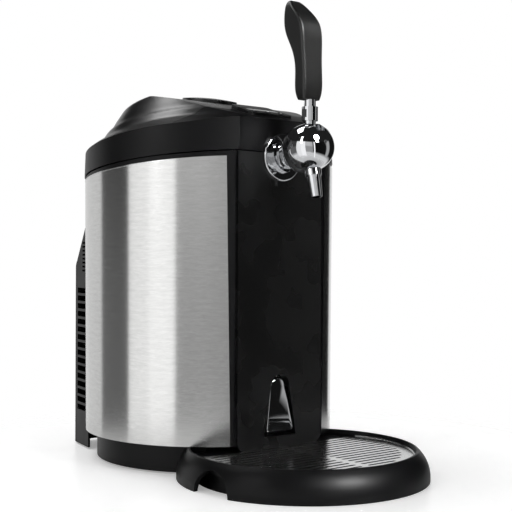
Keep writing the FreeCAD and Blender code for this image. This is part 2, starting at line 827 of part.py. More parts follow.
def dome(inset):
    """The closed upper form over the band: a tilted turned dome under a long sloping crown."""
    low = num(D.band_top_radius) - inset
    drop = inset * 0.8
    side = [V(low, 0, 0)] + [V(radius - inset, 0, height - drop) for radius, height in DOME_ROWS]
    top = V(0, 0, DOME_ROWS[-1][1] + 5 - drop)
    curve = Part.BSplineCurve()
    curve.interpolate(side)
    edges = [Part.LineSegment(V(0, 0, 0), side[0]).toShape(), curve.toShape(),
             Part.LineSegment(side[-1], top).toShape(), Part.LineSegment(top, V(0, 0, 0)).toShape()]
    solid = Part.Face(Part.Wire(edges)).revolve(V(0, 0, 0), V(0, 0, 1), 360)
    tilt = math.degrees(math.atan(num(D.rim_slope)))
    solid.Placement = FreeCAD.Placement(V(0, 0, num(D.rim_axis)), FreeCAD.Rotation(V(1, 0, 0), -tilt))
    return solid.common(crown_prism(inset))


def crown_prism(inset):
    """The long crown: rising from the front and nearly level at the back."""
    rows = [(-num(D.facet_distance), num(D.crown_front))] + CROWN_ROWS
    points = [V(-220, y, z - inset) for y, z in rows]
    curve = Part.BSplineCurve()
    curve.interpolate(points)
    base = [V(-220, points[-1].y, 200), V(-220, points[0].y, 200)]
    edges = [curve.toShape(), Part.LineSegment(points[-1], base[0]).toShape(),
             Part.LineSegment(base[0], base[1]).toShape(), Part.LineSegment(base[1], points[0]).toShape()]
    return Part.Face(Part.Wire(edges)).extrude(V(440, 0, 0))


def hinge_axis(x):
    return V(x, num(D.hinge_y), num(D.hinge_z))


def hinge_hole(clearance):
    reach = num(D.hinge_half_width) + 5
    return Part.makeCylinder(num(D.hinge_pin_radius) + clearance, 2 * reach, hinge_axis(-reach), V(1, 0, 0))


def fixed_hinge():
    """The block behind the lid with its two barrels."""
    half = num(D.hinge_half_width)
    width = num(D.knuckle_width)
    radius = num(D.hinge_radius)
    y = num(D.hinge_y)
    z = num(D.hinge_z)
    low = num(rim_at(y)) - 8
    shape = block(-half, half, y - radius + 0.5, y + radius, low, z - num(D.hinge_drop))
    for start in (-half, half - width):
        shape = shape.fuse(block(start, start + width, y - radius + 0.5, y + radius, low, z))
        shape = shape.fuse(Part.makeCylinder(radius, width, hinge_axis(start), V(1, 0, 0)))
    return shape.cut(hinge_hole(0))


def lid_hinge():
    """The lid's arm with its barrel between the fixed ones."""
    half = num(D.hinge_half_width) - num(D.knuckle_width) - 0.4
    radius = num(D.hinge_radius)
    y = num(D.hinge_y)
    z = num(D.hinge_z)
    arm = block(-half, half, y - 28, y, z - 2, z + radius)
    barrel = Part.makeCylinder(radius, 2 * half, hinge_axis(-half), V(1, 0, 0))
    return arm.fuse(barrel).cut(hinge_hole(num(D.pin_clearance)))


def knob_lean(shape):
    """Moves a piece drawn about the vertical axis onto the knob's leaning axis."""
    moved = shape.copy()
    turn = FreeCAD.Rotation(V(1, 0, 0), num(D.knob_tilt))
    frame = FreeCAD.Placement(V(0, 0, num(D.knob_top)), turn)
    moved.Placement = frame.multiply(FreeCAD.Placement(V(0, 0, -num(D.knob_top)), FreeCAD.Rotation())).multiply(
        shape.Placement)
    return moved


def knob_bar(radius, low, high):
    """A round bar on the knob's axis between two heights."""
    return knob_lean(Part.makeCylinder(num(radius), high - low, V(0, 0, low)))


def make_lid():
    gap = num(D.lid_gap)
    front_side = ahead_of_split(-gap / 2)
    wall = num(D.lid_wall)
    lift = side_prism([(-200, num(rim_at(-200)) + gap), (200, num(rim_at(200)) + gap), (200, 200), (-200, 200)])
    half = num(D.hinge_half_width) + gap
    back = num(D.hinge_y) - num(D.hinge_radius) - 1
    notch = block(-half, half, back, 220, 200, num(D.hinge_z) + num(D.hinge_radius) + 1)
    bore = knob_bar(D.regulator_neck + 0.4, 340, 440)
    shell = dome(0).cut(dome(wall)).fuse(pad_form().cut(dome(wall))).cut(front_side).cut(lift).cut(notch)
    shell = shell.fuse(lid_hinge().cut(dome(wall))).cut(bore).removeSplitter()
    keep_shape("lid_shell", shell)
    level = num(D.liner_level)
    liner = dome(wall).cut(ahead_of_split(-gap / 2 - 4))
    liner = liner.common(Part.makeCylinder(num(D.liner_radius), 100, V(0, 0, level)))
    liner = liner.cut(notch).cut(bore).cut(knob_bar(D.regulator_radius + 0.4, level - 20, level + 12.4))
    keep_shape("lid_liner", liner)
    outer = num(D.liner_radius) - 3
    seal = Part.makeCylinder(outer, 4, V(0, 0, level - 4))
    seal = seal.cut(Part.makeCylinder(outer - 6, 4, V(0, 0, level - 4)))
    seal = seal.cut(ahead_of_split(-gap / 2 - 8))
    keep_shape("lid_seal", seal)


def make_knob():
    """The pressure knob on its pedestal, with the regulator and cartridge sleeve under the lid."""
    thick = num(D.knob_thickness)
    base = num(D.knob_top)
    radius = num(D.knob_radius)
    stem = num(D.knob_stem_radius)
    level = num(D.liner_level)
    bore = knob_bar(D.regulator_neck + 0.4, 340, 440)
    pedestal = knob_bar(D.knob_pedestal_radius, base - 20, base).cut(dome(0)).cut(bore)
    keep_shape("knob_pedestal", pedestal)
    low = base + 0.3
    crown = num(D.knob_crown)
    bulge = (radius ** 2 + crown ** 2) / (2 * crown)
    cap = Part.makeCylinder(radius, thick + crown, V(0, 0, low))
    cap = cap.common(Part.makeSphere(bulge, V(0, 0, low + thick + crown - bulge)))
    keep_shape("pressure_knob", knob_lean(cap.fuse(Part.makeCylinder(stem, 12, V(0, 0, low - 11)))).removeSplitter())
    bottom = level - 24
    regulator = knob_bar(D.regulator_radius, bottom, level + 12).fuse(
        knob_bar(D.regulator_neck, level + 12, base))
    regulator = regulator.cut(knob_bar(D.knob_stem_radius + 0.05, base - 11.5, base + 10))
    keep_shape("gas_regulator", regulator.removeSplitter())
    sleeve_radius = num(D.sleeve_radius)
    reach = num(D.regulator_radius) + 60
    sleeve = Part.makeCylinder(sleeve_radius, reach, V(0, 2, bottom + sleeve_radius - 0.5), V(1, 0, 0))
    end = [e for e in sleeve.Edges if e.BoundBox.XMin > reach - 1]
    sleeve = sleeve.makeFillet(sleeve_radius * 0.5, end)
    keep_shape("cartridge_holder", sleeve.cut(knob_bar(D.regulator_radius, bottom - 20, level + 12)).cut(
        block(-100, 0, -50, 50, 300, 400)))


def pad_form():
    """The raised control pad that runs up the crown, narrower towards the back."""
    front, rear = PAD_FACE
    wide, narrow = PAD_HALF_WIDTHS
    face = side_prism([front, rear, (rear[0], 370), (front[0], 355)], wide + 5)
    plan = Part.makePolygon([V(-wide, front[0], 340), V(wide, front[0], 340), V(narrow, rear[0], 340),
                             V(-narrow, rear[0], 340), V(-wide, front[0], 340)])
    post = Part.Face(plan).extrude(V(0, 0, 60))
    corners = [e for e in post.Edges if e.BoundBox.ZLength > 50]
    return face.common(post.makeFillet(5, corners)).cut(dome(0))


def pod_frame():
    """The lower middle of the pad's sloping face, its upward direction and its normal."""
    low = V(0, *PAD_FACE[0])
    along = (V(0, *PAD_FACE[1]) - low).normalize()
    return low, along, V(1, 0, 0).cross(along)


def pod_hole(x, grow, button=False):
    low, along, normal = pod_frame()
    spot = low + along * 7.6 + V(x, 0, 0)
    start = spot - normal * (1.4 if button else 2.4)
    return Part.makeCylinder(3.0 + grow, 1.9 if button else 6, start, normal)


def pod_window():
    low, along, normal = pod_frame()
    corner = low + along * 13.5 - normal * 1.0 + V(-20, 0, 0)
    box = Part.makeBox(40, 8, 3)
    box.Placement = FreeCAD.Placement(corner, FreeCAD.Rotation(V(1, 0, 0), along, normal, "ZXY"))
    return box


def make_control_pod():
    """The fixed front part of the control pad with its window and keys."""
    pod = pad_form().common(ahead_of_split(num(D.lid_gap) / 2))
    window = pod_window().common(pod)
    for x in (-18, 0, 18):
        pod = pod.cut(pod_hole(x, 0.35))
    keep_shape("control_pod", pod.cut(window))
    keep_shape("display_window", window)
    for label, x in (("temperature_down_button", -18), ("power_button", 0), ("temperature_up_button", 18)):
        keep_shape(label, pod_hole(x, 0.0, button=True))


# Cooling chamber
def make_tub():
    body = new_body("keg_tub")
    inner = D.tub_radius
    outer = inner + D.tub_wall
    profile = outline_in(body, "profile", "XZ", 0, [
        (Size(0), D.tub_floor - D.tub_wall), (outer, D.tub_floor - D.tub_wall),
        (outer, D.tub_top), (outer + 4, D.tub_top), (outer + 4, D.tub_top + D.tub_wall),
        (inner, D.tub_top + D.tub_wall), (inner, D.tub_floor), (Size(0), D.tub_floor)])
    revolve(body, profile)
    keep("keg_tub", body)


def make_insulation():
    body = new_body("insulation")
    profile = outline_in(body, "profile", "XZ", 0, [
        (Size(0), shelf_top()), (D.foam_radius, shelf_top()), (D.foam_radius, D.tub_top),
        (D.tub_radius + D.tub_wall, D.tub_top),
        (D.tub_radius + D.tub_wall, D.tub_floor - D.tub_wall), (Size(0), D.tub_floor - D.tub_wall)])
    revolve(body, profile)
    window = outline_in(body, "window", "XZ", -D.foam_radius - 5, box_corners(
        -D.block_half_width, D.block_half_width,
        D.cooler_centre - D.block_half_width, D.cooler_centre + D.block_half_width))
    pocket(body, window, Size(60.0), reverse=True)
    keep("insulation", body)


def make_collar():
    body = new_body("inner_collar")
    level = D.tub_top + D.tub_wall
    low, high = shell_radius(D.shell_wall)
    share = (level - D.plinth_top) / (D.rim_axis - D.plinth_top)
    outer = low + (high - low) * share - 0.05
    disc = circles_in(body, "disc", "XY", level, [(outer,), (D.tub_radius + 0.5,)])
    pad(body, disc, D.collar_thickness)
    front = D.facet_distance - D.front_panel_thickness - D.shell_wall
    flat = outline_in(body, "flat", "XY", level, box_corners(
        -outer, outer, -(outer + 5), -front))
    pocket(body, flat, D.collar_thickness + 5, reverse=True)
    keep("inner_collar", body)


def make_cooler():
    centre = num(D.cooler_centre)
    half = num(D.block_half_width)
    rear = num(D.block_rear)
    cold = block(-half, half, 60, rear, centre - half, centre + half)
    cold = cold.cut(Part.makeCylinder(num(D.tub_radius + D.tub_wall), 200, V(0, 0, 60)))
    keep_shape("cold_block", cold)
    size = num(D.peltier_size) / 2
    thick = num(D.peltier_thickness)
    keep_shape("peltier_module", block(-size, size, rear, rear + thick, centre - size, centre + size))
    start = rear + thick
    side = num(D.sink_size) / 2
    sink = block(-side, side, start, start + num(D.sink_base), centre - side, centre + side)
    count = int(num(D.fin_count))
    fin = num(D.fin_thickness)
    step = (2 * side - fin) / (count - 1)
    for i in range(count):
        x = -side + i * step
        sink = sink.fuse(block(x, x + fin, start + num(D.sink_base), start + num(D.sink_depth),
                               centre - side, centre + side))
    keep_shape("heat_sink", sink.removeSplitter())
    make_fan(start + num(D.sink_depth), centre)


def make_fan(front, centre):
    depth = num(D.hood_rear) - num(D.hood_wall) - front
    half = num(D.fan_size) / 2
    frame = block(-half, half, front, front + depth, centre - half, centre + half)
    frame = frame.cut(Part.makeCylinder(num(D.fan_bore), depth, V(0, front, centre), V(0, 1, 0)))
    spider = Part.makeCylinder(num(D.fan_hub) - 1, 2, V(0, front, centre), V(0, 1, 0))
    for turn in (45, 135):
        arm = block(-num(D.fan_bore) - 1, num(D.fan_bore) + 1, front, front + 2, -2, 2)
        arm.Placement = FreeCAD.Placement(V(0, 0, centre), FreeCAD.Rotation(V(0, 1, 0), turn)).multiply(
            arm.Placement)
        spider = spider.fuse(arm)
    frame = frame.fuse(spider).removeSplitter()
    keep_shape("fan_frame", frame)
    start = front + 2.6
    length = depth - 3.4
    rotor = Part.makeCylinder(num(D.fan_hub), length, V(0, start, centre), V(0, 1, 0))
    for i in range(7):
        blade = Part.makeBox(num(D.blade_tip) - num(D.fan_hub) + 2, length - 2, 1.4,
                             V(num(D.fan_hub) - 2, -(length - 2) / 2, -0.7))
        lean = FreeCAD.Placement(V(0, 0, 0), FreeCAD.Rotation(V(1, 0, 0), 38))
        blade.Placement = lean.multiply(blade.Placement)
        turn = FreeCAD.Placement(V(0, start + length / 2, centre),
                                 FreeCAD.Rotation(V(0, 1, 0), i * 360 / 7))
        blade.Placement = turn.multiply(blade.Placement)
        rotor = rotor.fuse(blade)
    limit = Part.makeCylinder(num(D.blade_tip), length, V(0, start, centre), V(0, 1, 0))
    keep_shape("fan_rotor", rotor.common(limit).removeSplitter())


def make_power():
    top = num(shelf_top())
    rear = num(D.hood_rear)
    wall = num(D.hood_wall)
    keep_shape("power_supply", block(-45, 45, 112.5, rear - wall - 4.5, top, top + 52))
    x = num(D.inlet_x)
    z = num(D.inlet_z)
    wide = num(D.inlet_half_width)
    high = num(D.inlet_half_height)
    back = rear - num(D.inlet_depth)
    outer = block(x - wide, x + wide, back, rear, z - high, z + high)
    cavity = block(x - wide + 3, x + wide - 3, back + 4, rear + 5, z - high + 3, z + high - 3)
    inlet = outer.cut(cavity)
    for side in (-4, 4):
        inlet = inlet.fuse(Part.makeCylinder(1.5, 11, V(x + side, back + 2, z), V(0, 1, 0)))
    keep_shape("mains_inlet", inlet.removeSplitter())


# Tap
def tap_turn():
    """The tap leans up from its flange by a few degrees."""
    foot = at(0, D.facet_distance + D.flange_thickness, D.tap_height)
    turn = FreeCAD.Rotation(V(1, 0, 0), -num(D.tap_tilt))
    return FreeCAD.Placement(foot, turn)


def lean(shape):
    """Moves a piece drawn forward of the flange onto the leaning line."""
    moved = shape.copy()
    moved.Placement = tap_turn().multiply(shape.Placement)
    return moved


def pivot_point():
    return tap_turn().multVec(V(0, -num(D.tap_pivot), 0))


def lean_bar(radius, near, far, z=0):
    """A bar along the leaning line, by distances from the flange's face."""
    return lean(Part.makeCylinder(num(radius), num(far) - num(near), V(0, -num(near), num(z)), V(0, -1, 0)))


def make_tap():
    front = num(D.facet_distance)
    level = num(D.tap_height)
    thick = num(D.flange_thickness)
    shank = num(D.shank_radius)
    flange = cylinder_y(D.flange_radius, front, front + thick, 0, level)
    rim = [e for e in flange.Edges if e.BoundBox.YMax < -front - 1]
    flange = flange.makeFillet(1.5, rim)
    low = level - num(D.flange_radius)
    flange = flange.fuse(block(-6.5, 6.5, -front - 2.4, -front, low - 5, low + 4))
    keep_shape("tap_flange", flange.cut(cylinder_y(shank, front - 1, front + thick + 1, 0, level)))
    tail = num(D.shank_tail)
    tube = cylinder_y(shank, tail + 14, front + thick, 0, level).fuse(
        cylinder_y(D.barb_radius, tail, tail + 14, 0, level))
    keep_shape("tap_shank", tube.cut(cylinder_y(D.shank_bore, tail - 1, front + thick + 1, 0, level)))
    inner_wall = front - num(D.front_panel_thickness) - num(D.shell_wall)
    corner = num(D.nut_width) / math.sqrt(3)
    spots = [V(corner * math.cos(math.radians(60 * i)), -inner_wall, level + corner * math.sin(math.radians(60 * i)))
             for i in range(7)]
    nut = Part.Face(Part.makePolygon(spots)).extrude(V(0, num(D.nut_thickness), 0))
    keep_shape("shank_nut", nut.cut(cylinder_y(shank, inner_wall - 20, inner_wall + 2, 0, level)))
    make_neck()
    make_barrel()
    make_lever()


def make_neck():
    """The ringed neck between the flange and the barrel."""
    neck = num(D.neck_radius)
    rear = num(D.barrel_rear)
    steps = [(-6, neck + 2), (4, neck + 2), (4, neck - 1), (6, neck - 1), (6, neck), (10, neck),
             (10, neck - 1.5), (12, neck - 1.5), (12, neck + 1), (rear, neck + 2.5)]
    points = [V(0, 6, 0)] + [V(0, -y, r) for y, r in steps] + [V(0, -rear, 0)]
    ring = lean(spin_profile(points, V(0, 0, 0), V(0, 1, 0)))
    wall = block(-60, 60, -(D.facet_distance + D.flange_thickness), 0, 200, 460)
    keep_shape("tap_neck", ring.cut(wall).cut(lean_bar(D.shank_bore, -9, rear + 1)))


def barrel_solid():
    """The bulging tap body, turned about the leaning line."""
    rear = num(D.barrel_rear)
    radius = num(D.barrel_radius)
    length = num(D.barrel_length)
    rows = [(0.0, 0.76), (0.12, 0.93), (0.36, 1.0), (0.62, 0.965), (0.85, 0.76), (0.97, 0.4), (1.0, 0.0)]
    points = [V(0, -rear - share * length, radius * width) for share, width in rows]
    curve = Part.BSplineCurve()
    curve.interpolate(points)
    edges = [curve.toShape(), Part.LineSegment(points[-1], V(0, -rear, 0)).toShape(),
             Part.LineSegment(V(0, -rear, 0), points[0]).toShape()]
    return lean(Part.Face(Part.Wire(edges)).revolve(V(0, 0, 0), V(0, 1, 0), 360))


def make_barrel():
    pivot = pivot_point()
    clear = num(D.ball_clearance)
    rear = num(D.barrel_rear)
    solid = barrel_solid()
    cavity = Part.makeSphere(num(D.ball_radius) + clear, pivot)
    half = num(D.stem_radius) + clear
    swing = math.radians(num(D.lever_range) + 1)
    ahead = V(0, -math.sin(swing), math.cos(swing)) * 45
    aside = V(0, -math.cos(swing), -math.sin(swing)) * half
    corners = [V(0, half, 0), V(0, half, 45), ahead + aside, aside]
    slot = side_prism([(pivot.y + c.y, pivot.z + c.z) for c in corners], half)
    sweep = block(-5, 5, pivot.y - 6, pivot.y + 12, pivot.z - 14.5, pivot.z)
    bore = lean_bar(D.shank_bore, rear - 1, D.tap_pivot)
    pin = Part.makeCylinder(num(D.lever_pin_radius), 60, pivot - V(30, 0, 0), V(1, 0, 0))
    outlet = spout_bar(D.spout_bore, 0, D.spout_length + 20)
    solid = solid.cut(cavity).cut(slot).cut(sweep).cut(bore).cut(pin).cut(outlet)
    seam = num(D.barrel_seam)
    ahead = lean(block(-60, 60, -200, -seam, -80, 80))
    groove = lean(Part.makeCylinder(60, 1.2, V(0, -seam + 1.2, 0), V(0, -1, 0)).cut(
        Part.makeCylinder(num(D.barrel_radius) - 1.0, 4, V(0, -seam + 2, 0), V(0, -1, 0))))
    keep_shape("tap_body", solid.cut(ahead).cut(groove))
    keep_shape("tap_cap", solid.common(ahead))
    reach = num(D.barrel_radius) - 3
    keep_shape("lever_pin", Part.makeCylinder(num(D.lever_pin_radius), 2 * reach, pivot - V(reach, 0, 0), V(1, 0, 0)))
    start = num(D.barrel_radius) - 3
    length = num(D.spout_length)
    tube = spout_bar(D.spout_radius, start, start + 8)
    cone = Part.makeCone(num(D.spout_radius), num(D.spout_tip_radius), length - 8, V(0, 0, 0), V(0, 0, 1))
    cone.Placement = spout_place(start + 8)
    tube = tube.fuse(cone).cut(barrel_solid()).cut(spout_bar(D.spout_bore, 0, length + 40))
    collar = spout_bar(D.spout_radius + 1.4, start + 2, start + 8).cut(barrel_solid())
    keep_shape("spout_collar", collar.cut(spout_bar(D.spout_radius, 0, length + 40)))
    keep_shape("tap_spout", tube.removeSplitter())


def spout_place(distance):
    """A frame on the spout's line, a distance down from the lever's pivot."""
    turn = FreeCAD.Rotation(V(1, 0, 0), 180 - num(D.spout_tilt))
    return FreeCAD.Placement(pivot_point() + turn.multVec(V(0, 0, num(distance))), turn)


def spout_bar(radius, near, far):
    bar = Part.makeCylinder(num(radius), num(far) - num(near))
    bar.Placement = spout_place(near)
    return bar


def make_lever():
    pivot = pivot_point()
    stem_radius = num(D.stem_radius)
    bottom = num(D.handle_bottom)
    ball = Part.makeSphere(num(D.ball_radius), pivot)
    stem = Part.makeCylinder(stem_radius, bottom - pivot.z, pivot)
    tail = Part.makeCylinder(3.2, 12, pivot - V(0, 0, 12))
    lever = ball.fuse(stem).fuse(tail)
    hole = Part.makeCylinder(num(D.lever_pin_radius + D.pin_clearance), 60, pivot - V(30, 0, 0), V(1, 0, 0))
    keep_shape("tap_lever", lever.cut(hole).removeSplitter())
    base = pivot + V(0, 0, num(D.collar_start))
    collar = Part.makeCylinder(num(D.collar_radius), num(D.collar_height), base)
    collar = collar.cut(Part.makeCylinder(stem_radius, num(D.collar_height), base))
    flat = num(D.collar_radius) - 0.8
    collar = collar.cut(block(-20, -flat, -300, 0, base.z + 3, base.z + 11))
    keep_shape("lever_collar", collar)
    keep_shape("tap_handle", handle_solid(pivot))
    rod = lean_bar(D.plunger_radius, 0, D.tap_pivot - D.plunger_gap)
    head = lean_bar(D.shank_bore - D.ball_clearance, D.plunger_head, D.plunger_head + 4)
    keep_shape("valve_plunger", rod.fuse(head).removeSplitter())


def handle_section(z, front, rear, half):
    """One section of the handle: a flat front between two ridges, and a narrower rounded back."""
    depth = front - rear
    corner = min(half, depth) * 0.22
    back = half
    spots = [V(-half, -front, z), V(half, -front, z), V(back, -rear, z), V(-back, -rear, z)]
    edges = []
    count = len(spots)
    cuts = []
    for i in range(count):
        before = (spots[i - 1] - spots[i]).normalize()
        after = (spots[(i + 1) % count] - spots[i]).normalize()
        middle = (before + after).normalize()
        cuts.append((spots[i] + before * corner, spots[i] + middle * corner * 0.42, spots[i] + after * corner))
    for i in range(count):
        edges.append(Part.Arc(*cuts[i]).toShape())
        edges.append(Part.LineSegment(cuts[i][2], cuts[(i + 1) % count][0]).toShape())
    return Part.Wire(edges)


def handle_solid(pivot):
    """The leaning handle, lofted through sections given by height and by reach from the pivot."""
    bottom = num(D.handle_bottom)
    span = num(D.handle_top) - bottom
    wide = num(D.handle_half_width)
    rows = [(0.0, 3.9, -7.6, 0.74), (0.03, 4.6, -8.6, 0.82), (0.37, 5.0, -10.6, 0.92), (0.53, 4.4, -16.0, 0.98),
            (0.67, 3.3, -23.4, 1.0), (0.82, -4.0, -26.6, 0.95), (0.925, -14.5, -27.4, 0.8),
            (0.975, -20.0, -27.2, 0.62), (1.0, -23.0, -26.6, 0.42)]
    wires = [handle_section(bottom + share * span, ahead - pivot.y, back - pivot.y, wide * width)
             for share, ahead, back, width in rows]
    return Part.makeLoft(wires, True, False)


# Beer line and coupler
def make_beer_line():
    """The hose from the shank's barb to the keg coupler, which stands on the collar."""
    level = num(D.tap_height)
    tail = num(D.shank_tail)
    outer = num(D.hose_radius)
    bore = num(D.barb_radius)
    bend = num(D.hose_bend)
    reach = num(D.coupler_reach)
    start = V(0, -tail - 10, level)
    turn = V(0, -tail + 4, level)
    corner = turn + V(-bend * (1 - math.sqrt(0.5)), bend * math.sqrt(0.5), 0)
    side = turn + V(-bend, bend, 0)
    spot = V(-reach, side.y, level)
    spine = Part.Wire([Part.LineSegment(start, turn).toShape(), Part.Arc(turn, corner, side).toShape(),
                       Part.LineSegment(side, spot).toShape()])
    tubes = []
    for radius in (outer, bore):
        ring = Part.Wire(Part.Circle(start, V(0, 1, 0), radius).toShape())
        tubes.append(spine.makePipeShell([ring], True, False))
    keep_shape("beer_line", tubes[0].cut(tubes[1]))
    barb = Part.makeCylinder(bore, 18, spot + V(8, 0, 0), V(-1, 0, 0))
    bottom = num(D.tub_top + D.tub_wall + D.collar_thickness)
    post_radius = num(D.coupler_radius)
    post = Part.makeCylinder(post_radius, level + 12 - bottom, V(-reach - post_radius, side.y, bottom))
    keep_shape("keg_coupler", post.fuse(barb).removeSplitter())


# Drip tray
def make_tray():
    """The round tray, drawn about its own axis, with its back cut to fit the plinth."""
    body = new_body("drip_tray")
    wall = D.tray_wall
    well = D.plate_radius - D.plate_ledge
    seat = D.plate_level - D.plate_thickness
    profile = outline_in(body, "profile", "XZ", 0, [
        (Size(0), Size(0)), (well + wall, Size(0)), (well + wall, seat - wall),
        (D.tray_rim_radius - wall * 1.5, seat - wall), (D.tray_radius - wall * 2, D.tray_height * 0.4),
        (D.tray_radius - wall * 1.4, Size(0)),
        (D.tray_radius, Size(0)), Bow(D.tray_radius, D.tray_foot, D.tray_curve, 1),
        Bow(D.tray_rim_radius, D.tray_height - 1, D.tray_edge, 1),
        (D.tray_rim_radius - 3, D.tray_height),
        (D.plate_radius + D.plate_gap, D.plate_level), (D.plate_radius + D.plate_gap, seat),
        (well, seat), (well, wall), (Size(0), wall)])
    revolve(body, profile)
    deep = D.tray_height + 10
    gap = D.tray_gap
    plinth = outline_in(body, "plinth", "XY", -5, back_outline(gap))
    pocket(body, plinth, deep, reverse=True)
    for side in (-1, 1):
        scoop = new_sketch(body, "YZ", side * (D.tray_radius - D.scoop_depth), name_in(body, "scoop%d" % (side + 1)))
        draw_circle(scoop, D.scoop_radius, D.tray_axis - D.scoop_distance, 0)
        pocket(body, scoop, D.scoop_depth + 5, reverse=(side > 0))
    back = outline_in(body, "back", "XY", 0, box_corners(
        -D.back_half_width, D.back_half_width,
        D.tray_axis - D.plinth_front - gap - wall, D.tray_axis - D.plinth_front - gap))
    pad(body, back, seat)
    edge = plate_back()
    shelf = outline_in(body, "shelf", "XY", seat - wall, box_corners(
        -D.shelf_half_width, D.shelf_half_width, edge - D.plate_ledge, D.tray_axis - D.plinth_front - gap))
    pad(body, shelf, wall)
    keep("drip_tray", body, -D.tray_axis)


def plate_back():
    """The plate's straight rear edge, just ahead of the front panel so that the plate lifts out."""
    return D.tray_axis - D.facet_distance - D.plate_back_gap


def back_outline(gap):
    """The plinth's outline seen from the tray's axis: a circle with a flat front."""
    radius = D.plinth_radius + gap
    front = D.plinth_front + gap
    half = root(radius * radius - front * front)
    level = D.tray_axis - front
    return [(-half, level), Bow(half, level, radius), Bow(radius, D.tray_axis, radius),
            Bow(Size(0), D.tray_axis + radius, radius), Bow(-radius, D.tray_axis, radius)]


def make_plate():
    """The slotted steel plate with a rolled edge that drops into the tray."""
    seat = num(D.plate_level) - num(D.plate_thickness)
    thick = num(D.plate_thickness)
    radius = num(D.plate_radius)
    inner = radius - num(D.plate_rim)
    tall = thick + num(D.plate_rim_height)
    plate = Part.makeCylinder(radius, tall, V(0, 0, seat))
    plate = plate.cut(Part.makeCylinder(inner, tall, V(0, 0, seat + thick)))
    back = num(plate_back())
    plate = plate.cut(block(-200, 200, back, 200, 0, 100))
    reach = radius - num(D.slot_margin)
    pitch = num(D.slot_pitch)
    width = num(D.slot_width)
    rib = num(D.slot_rib)
    last = int((back - width - 2) / pitch)
    slots = []
    for row in range(-int((reach - 6) / pitch), last + 1):
        far = math.sqrt(reach ** 2 - (row * pitch) ** 2)
        for side in (-1, 1):
            if far > rib / 2 + 2 * width:
                low, high = sorted((side * rib / 2, side * far))
                slots.append(slot_tool(low, high, row * pitch, width / 2, seat - 1, tall + 2))
    plate = plate.cut(Part.makeCompound(slots))
    keep_shape("drip_plate", plate, -D.tray_axis)


def slot_tool(low, high, y, radius, level, height):
    """A level slot with round ends, as a solid to cut away."""
    left = V(low + radius, y, level)
    right = V(high - radius, y, level)
    up = V(0, radius, 0)
    edges = [Part.Arc(left + up, left - V(radius, 0, 0), left - up), Part.LineSegment(left - up, right - up),
             Part.Arc(right - up, right + V(radius, 0, 0), right + up), Part.LineSegment(right + up, left + up)]
    return Part.Face(Part.Wire([edge.toShape() for edge in edges])).extrude(V(0, 0, height))


def make_screws():
    """Screws under the plinth and behind the hood."""
    under = []
    for turn in (45, 135, 225, 315):
        angle = math.radians(turn + 20)
        reach = num(D.plinth_radius) - num(D.plinth_wall) / 2 - 21
        spot = V(reach * math.cos(angle), reach * math.sin(angle), num(D.plinth_top) - 5.4)
        under.append(Part.makeCylinder(3.5, 2.4, spot))
    keep_shape("base_screws", Part.makeCompound(under))
    behind = []
    for x in (-num(D.hood_rear_half_width) + 16, num(D.hood_rear_half_width) - 16):
        for z in (20, num(D.hood_shoulder) - 14):
            behind.append(Part.makeCylinder(3.5, 1.8, V(x, num(D.hood_rear), z), V(0, 1, 0)))
    keep_shape("hood_screws", Part.makeCompound(behind))


def main():
    make_plinth()
    make_feet()
    make_shell()
    make_side_panel("side_panel_left", -1)
    make_side_panel("side_panel_right", 1)
    make_front_panel()
    make_drain_spout()
    make_hood()
    make_top_ring()
    make_lid()
    make_knob()
    make_control_pod()
    make_tub()
    make_insulation()
    make_collar()
    make_cooler()
    make_power()
    make_tap()
    make_beer_line()
    make_tray()
    make_plate()
    make_screws()
    DOC.recompute()
    os.makedirs("parts", exist_ok=True)
    for item in DOC.Objects:
        if "Invalid" in item.State or "Error" in item.State:
            print("FAILED", item.Name, item.Label)
    for label, item in PARTS:
        if item.Shape.isNull() or not item.Shape.isValid():
            print("BAD SHAPE", label)
            continue
        item.Shape.exportStep("parts/%s.step" % label)
        print(label, len(item.Shape.Solids), round(item.Shape.Volume))


main()
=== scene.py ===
"""Finishes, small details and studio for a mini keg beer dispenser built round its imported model."""

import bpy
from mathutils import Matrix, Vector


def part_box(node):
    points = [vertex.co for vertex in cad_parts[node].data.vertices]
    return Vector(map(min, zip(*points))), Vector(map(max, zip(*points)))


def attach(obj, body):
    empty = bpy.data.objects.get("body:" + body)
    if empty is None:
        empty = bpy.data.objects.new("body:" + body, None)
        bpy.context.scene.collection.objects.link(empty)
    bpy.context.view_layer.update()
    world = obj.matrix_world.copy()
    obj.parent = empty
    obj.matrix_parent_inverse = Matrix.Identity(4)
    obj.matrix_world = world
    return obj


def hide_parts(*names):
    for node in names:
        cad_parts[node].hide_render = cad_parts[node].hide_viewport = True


bl_info = {
    "name": "Mini Keg Dispenser",
    "version": (1, 0, 0),
    "blender": (4, 5, 0),
    "location": "View3D > Sidebar > Dispenser",
    "description": "Gives the mini keg beer dispenser its finishes, small details and studio",
    "category": "Object",
}

import bmesh
import bpy
import math
from bpy.props import FloatProperty, FloatVectorProperty, PointerProperty
from mathutils import Matrix, Vector

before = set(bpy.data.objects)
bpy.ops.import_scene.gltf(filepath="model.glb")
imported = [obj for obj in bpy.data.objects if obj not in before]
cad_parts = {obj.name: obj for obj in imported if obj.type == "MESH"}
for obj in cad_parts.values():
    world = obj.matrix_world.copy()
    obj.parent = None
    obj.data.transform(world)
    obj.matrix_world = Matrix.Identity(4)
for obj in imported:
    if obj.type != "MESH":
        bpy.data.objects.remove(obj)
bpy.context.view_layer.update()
MM = 0.001
WHITE = (1.0, 1.0, 1.0, 1.0)
TUB_LOW, TUB_HIGH = [Vector(corner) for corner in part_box("keg_tub")]
CABINET_AXIS_Y = (TUB_LOW.y + TUB_HIGH.y) / 2

# A distance far smaller than any feature, for telling corners on a plane from the rest.
TINY = 0.01 * MM

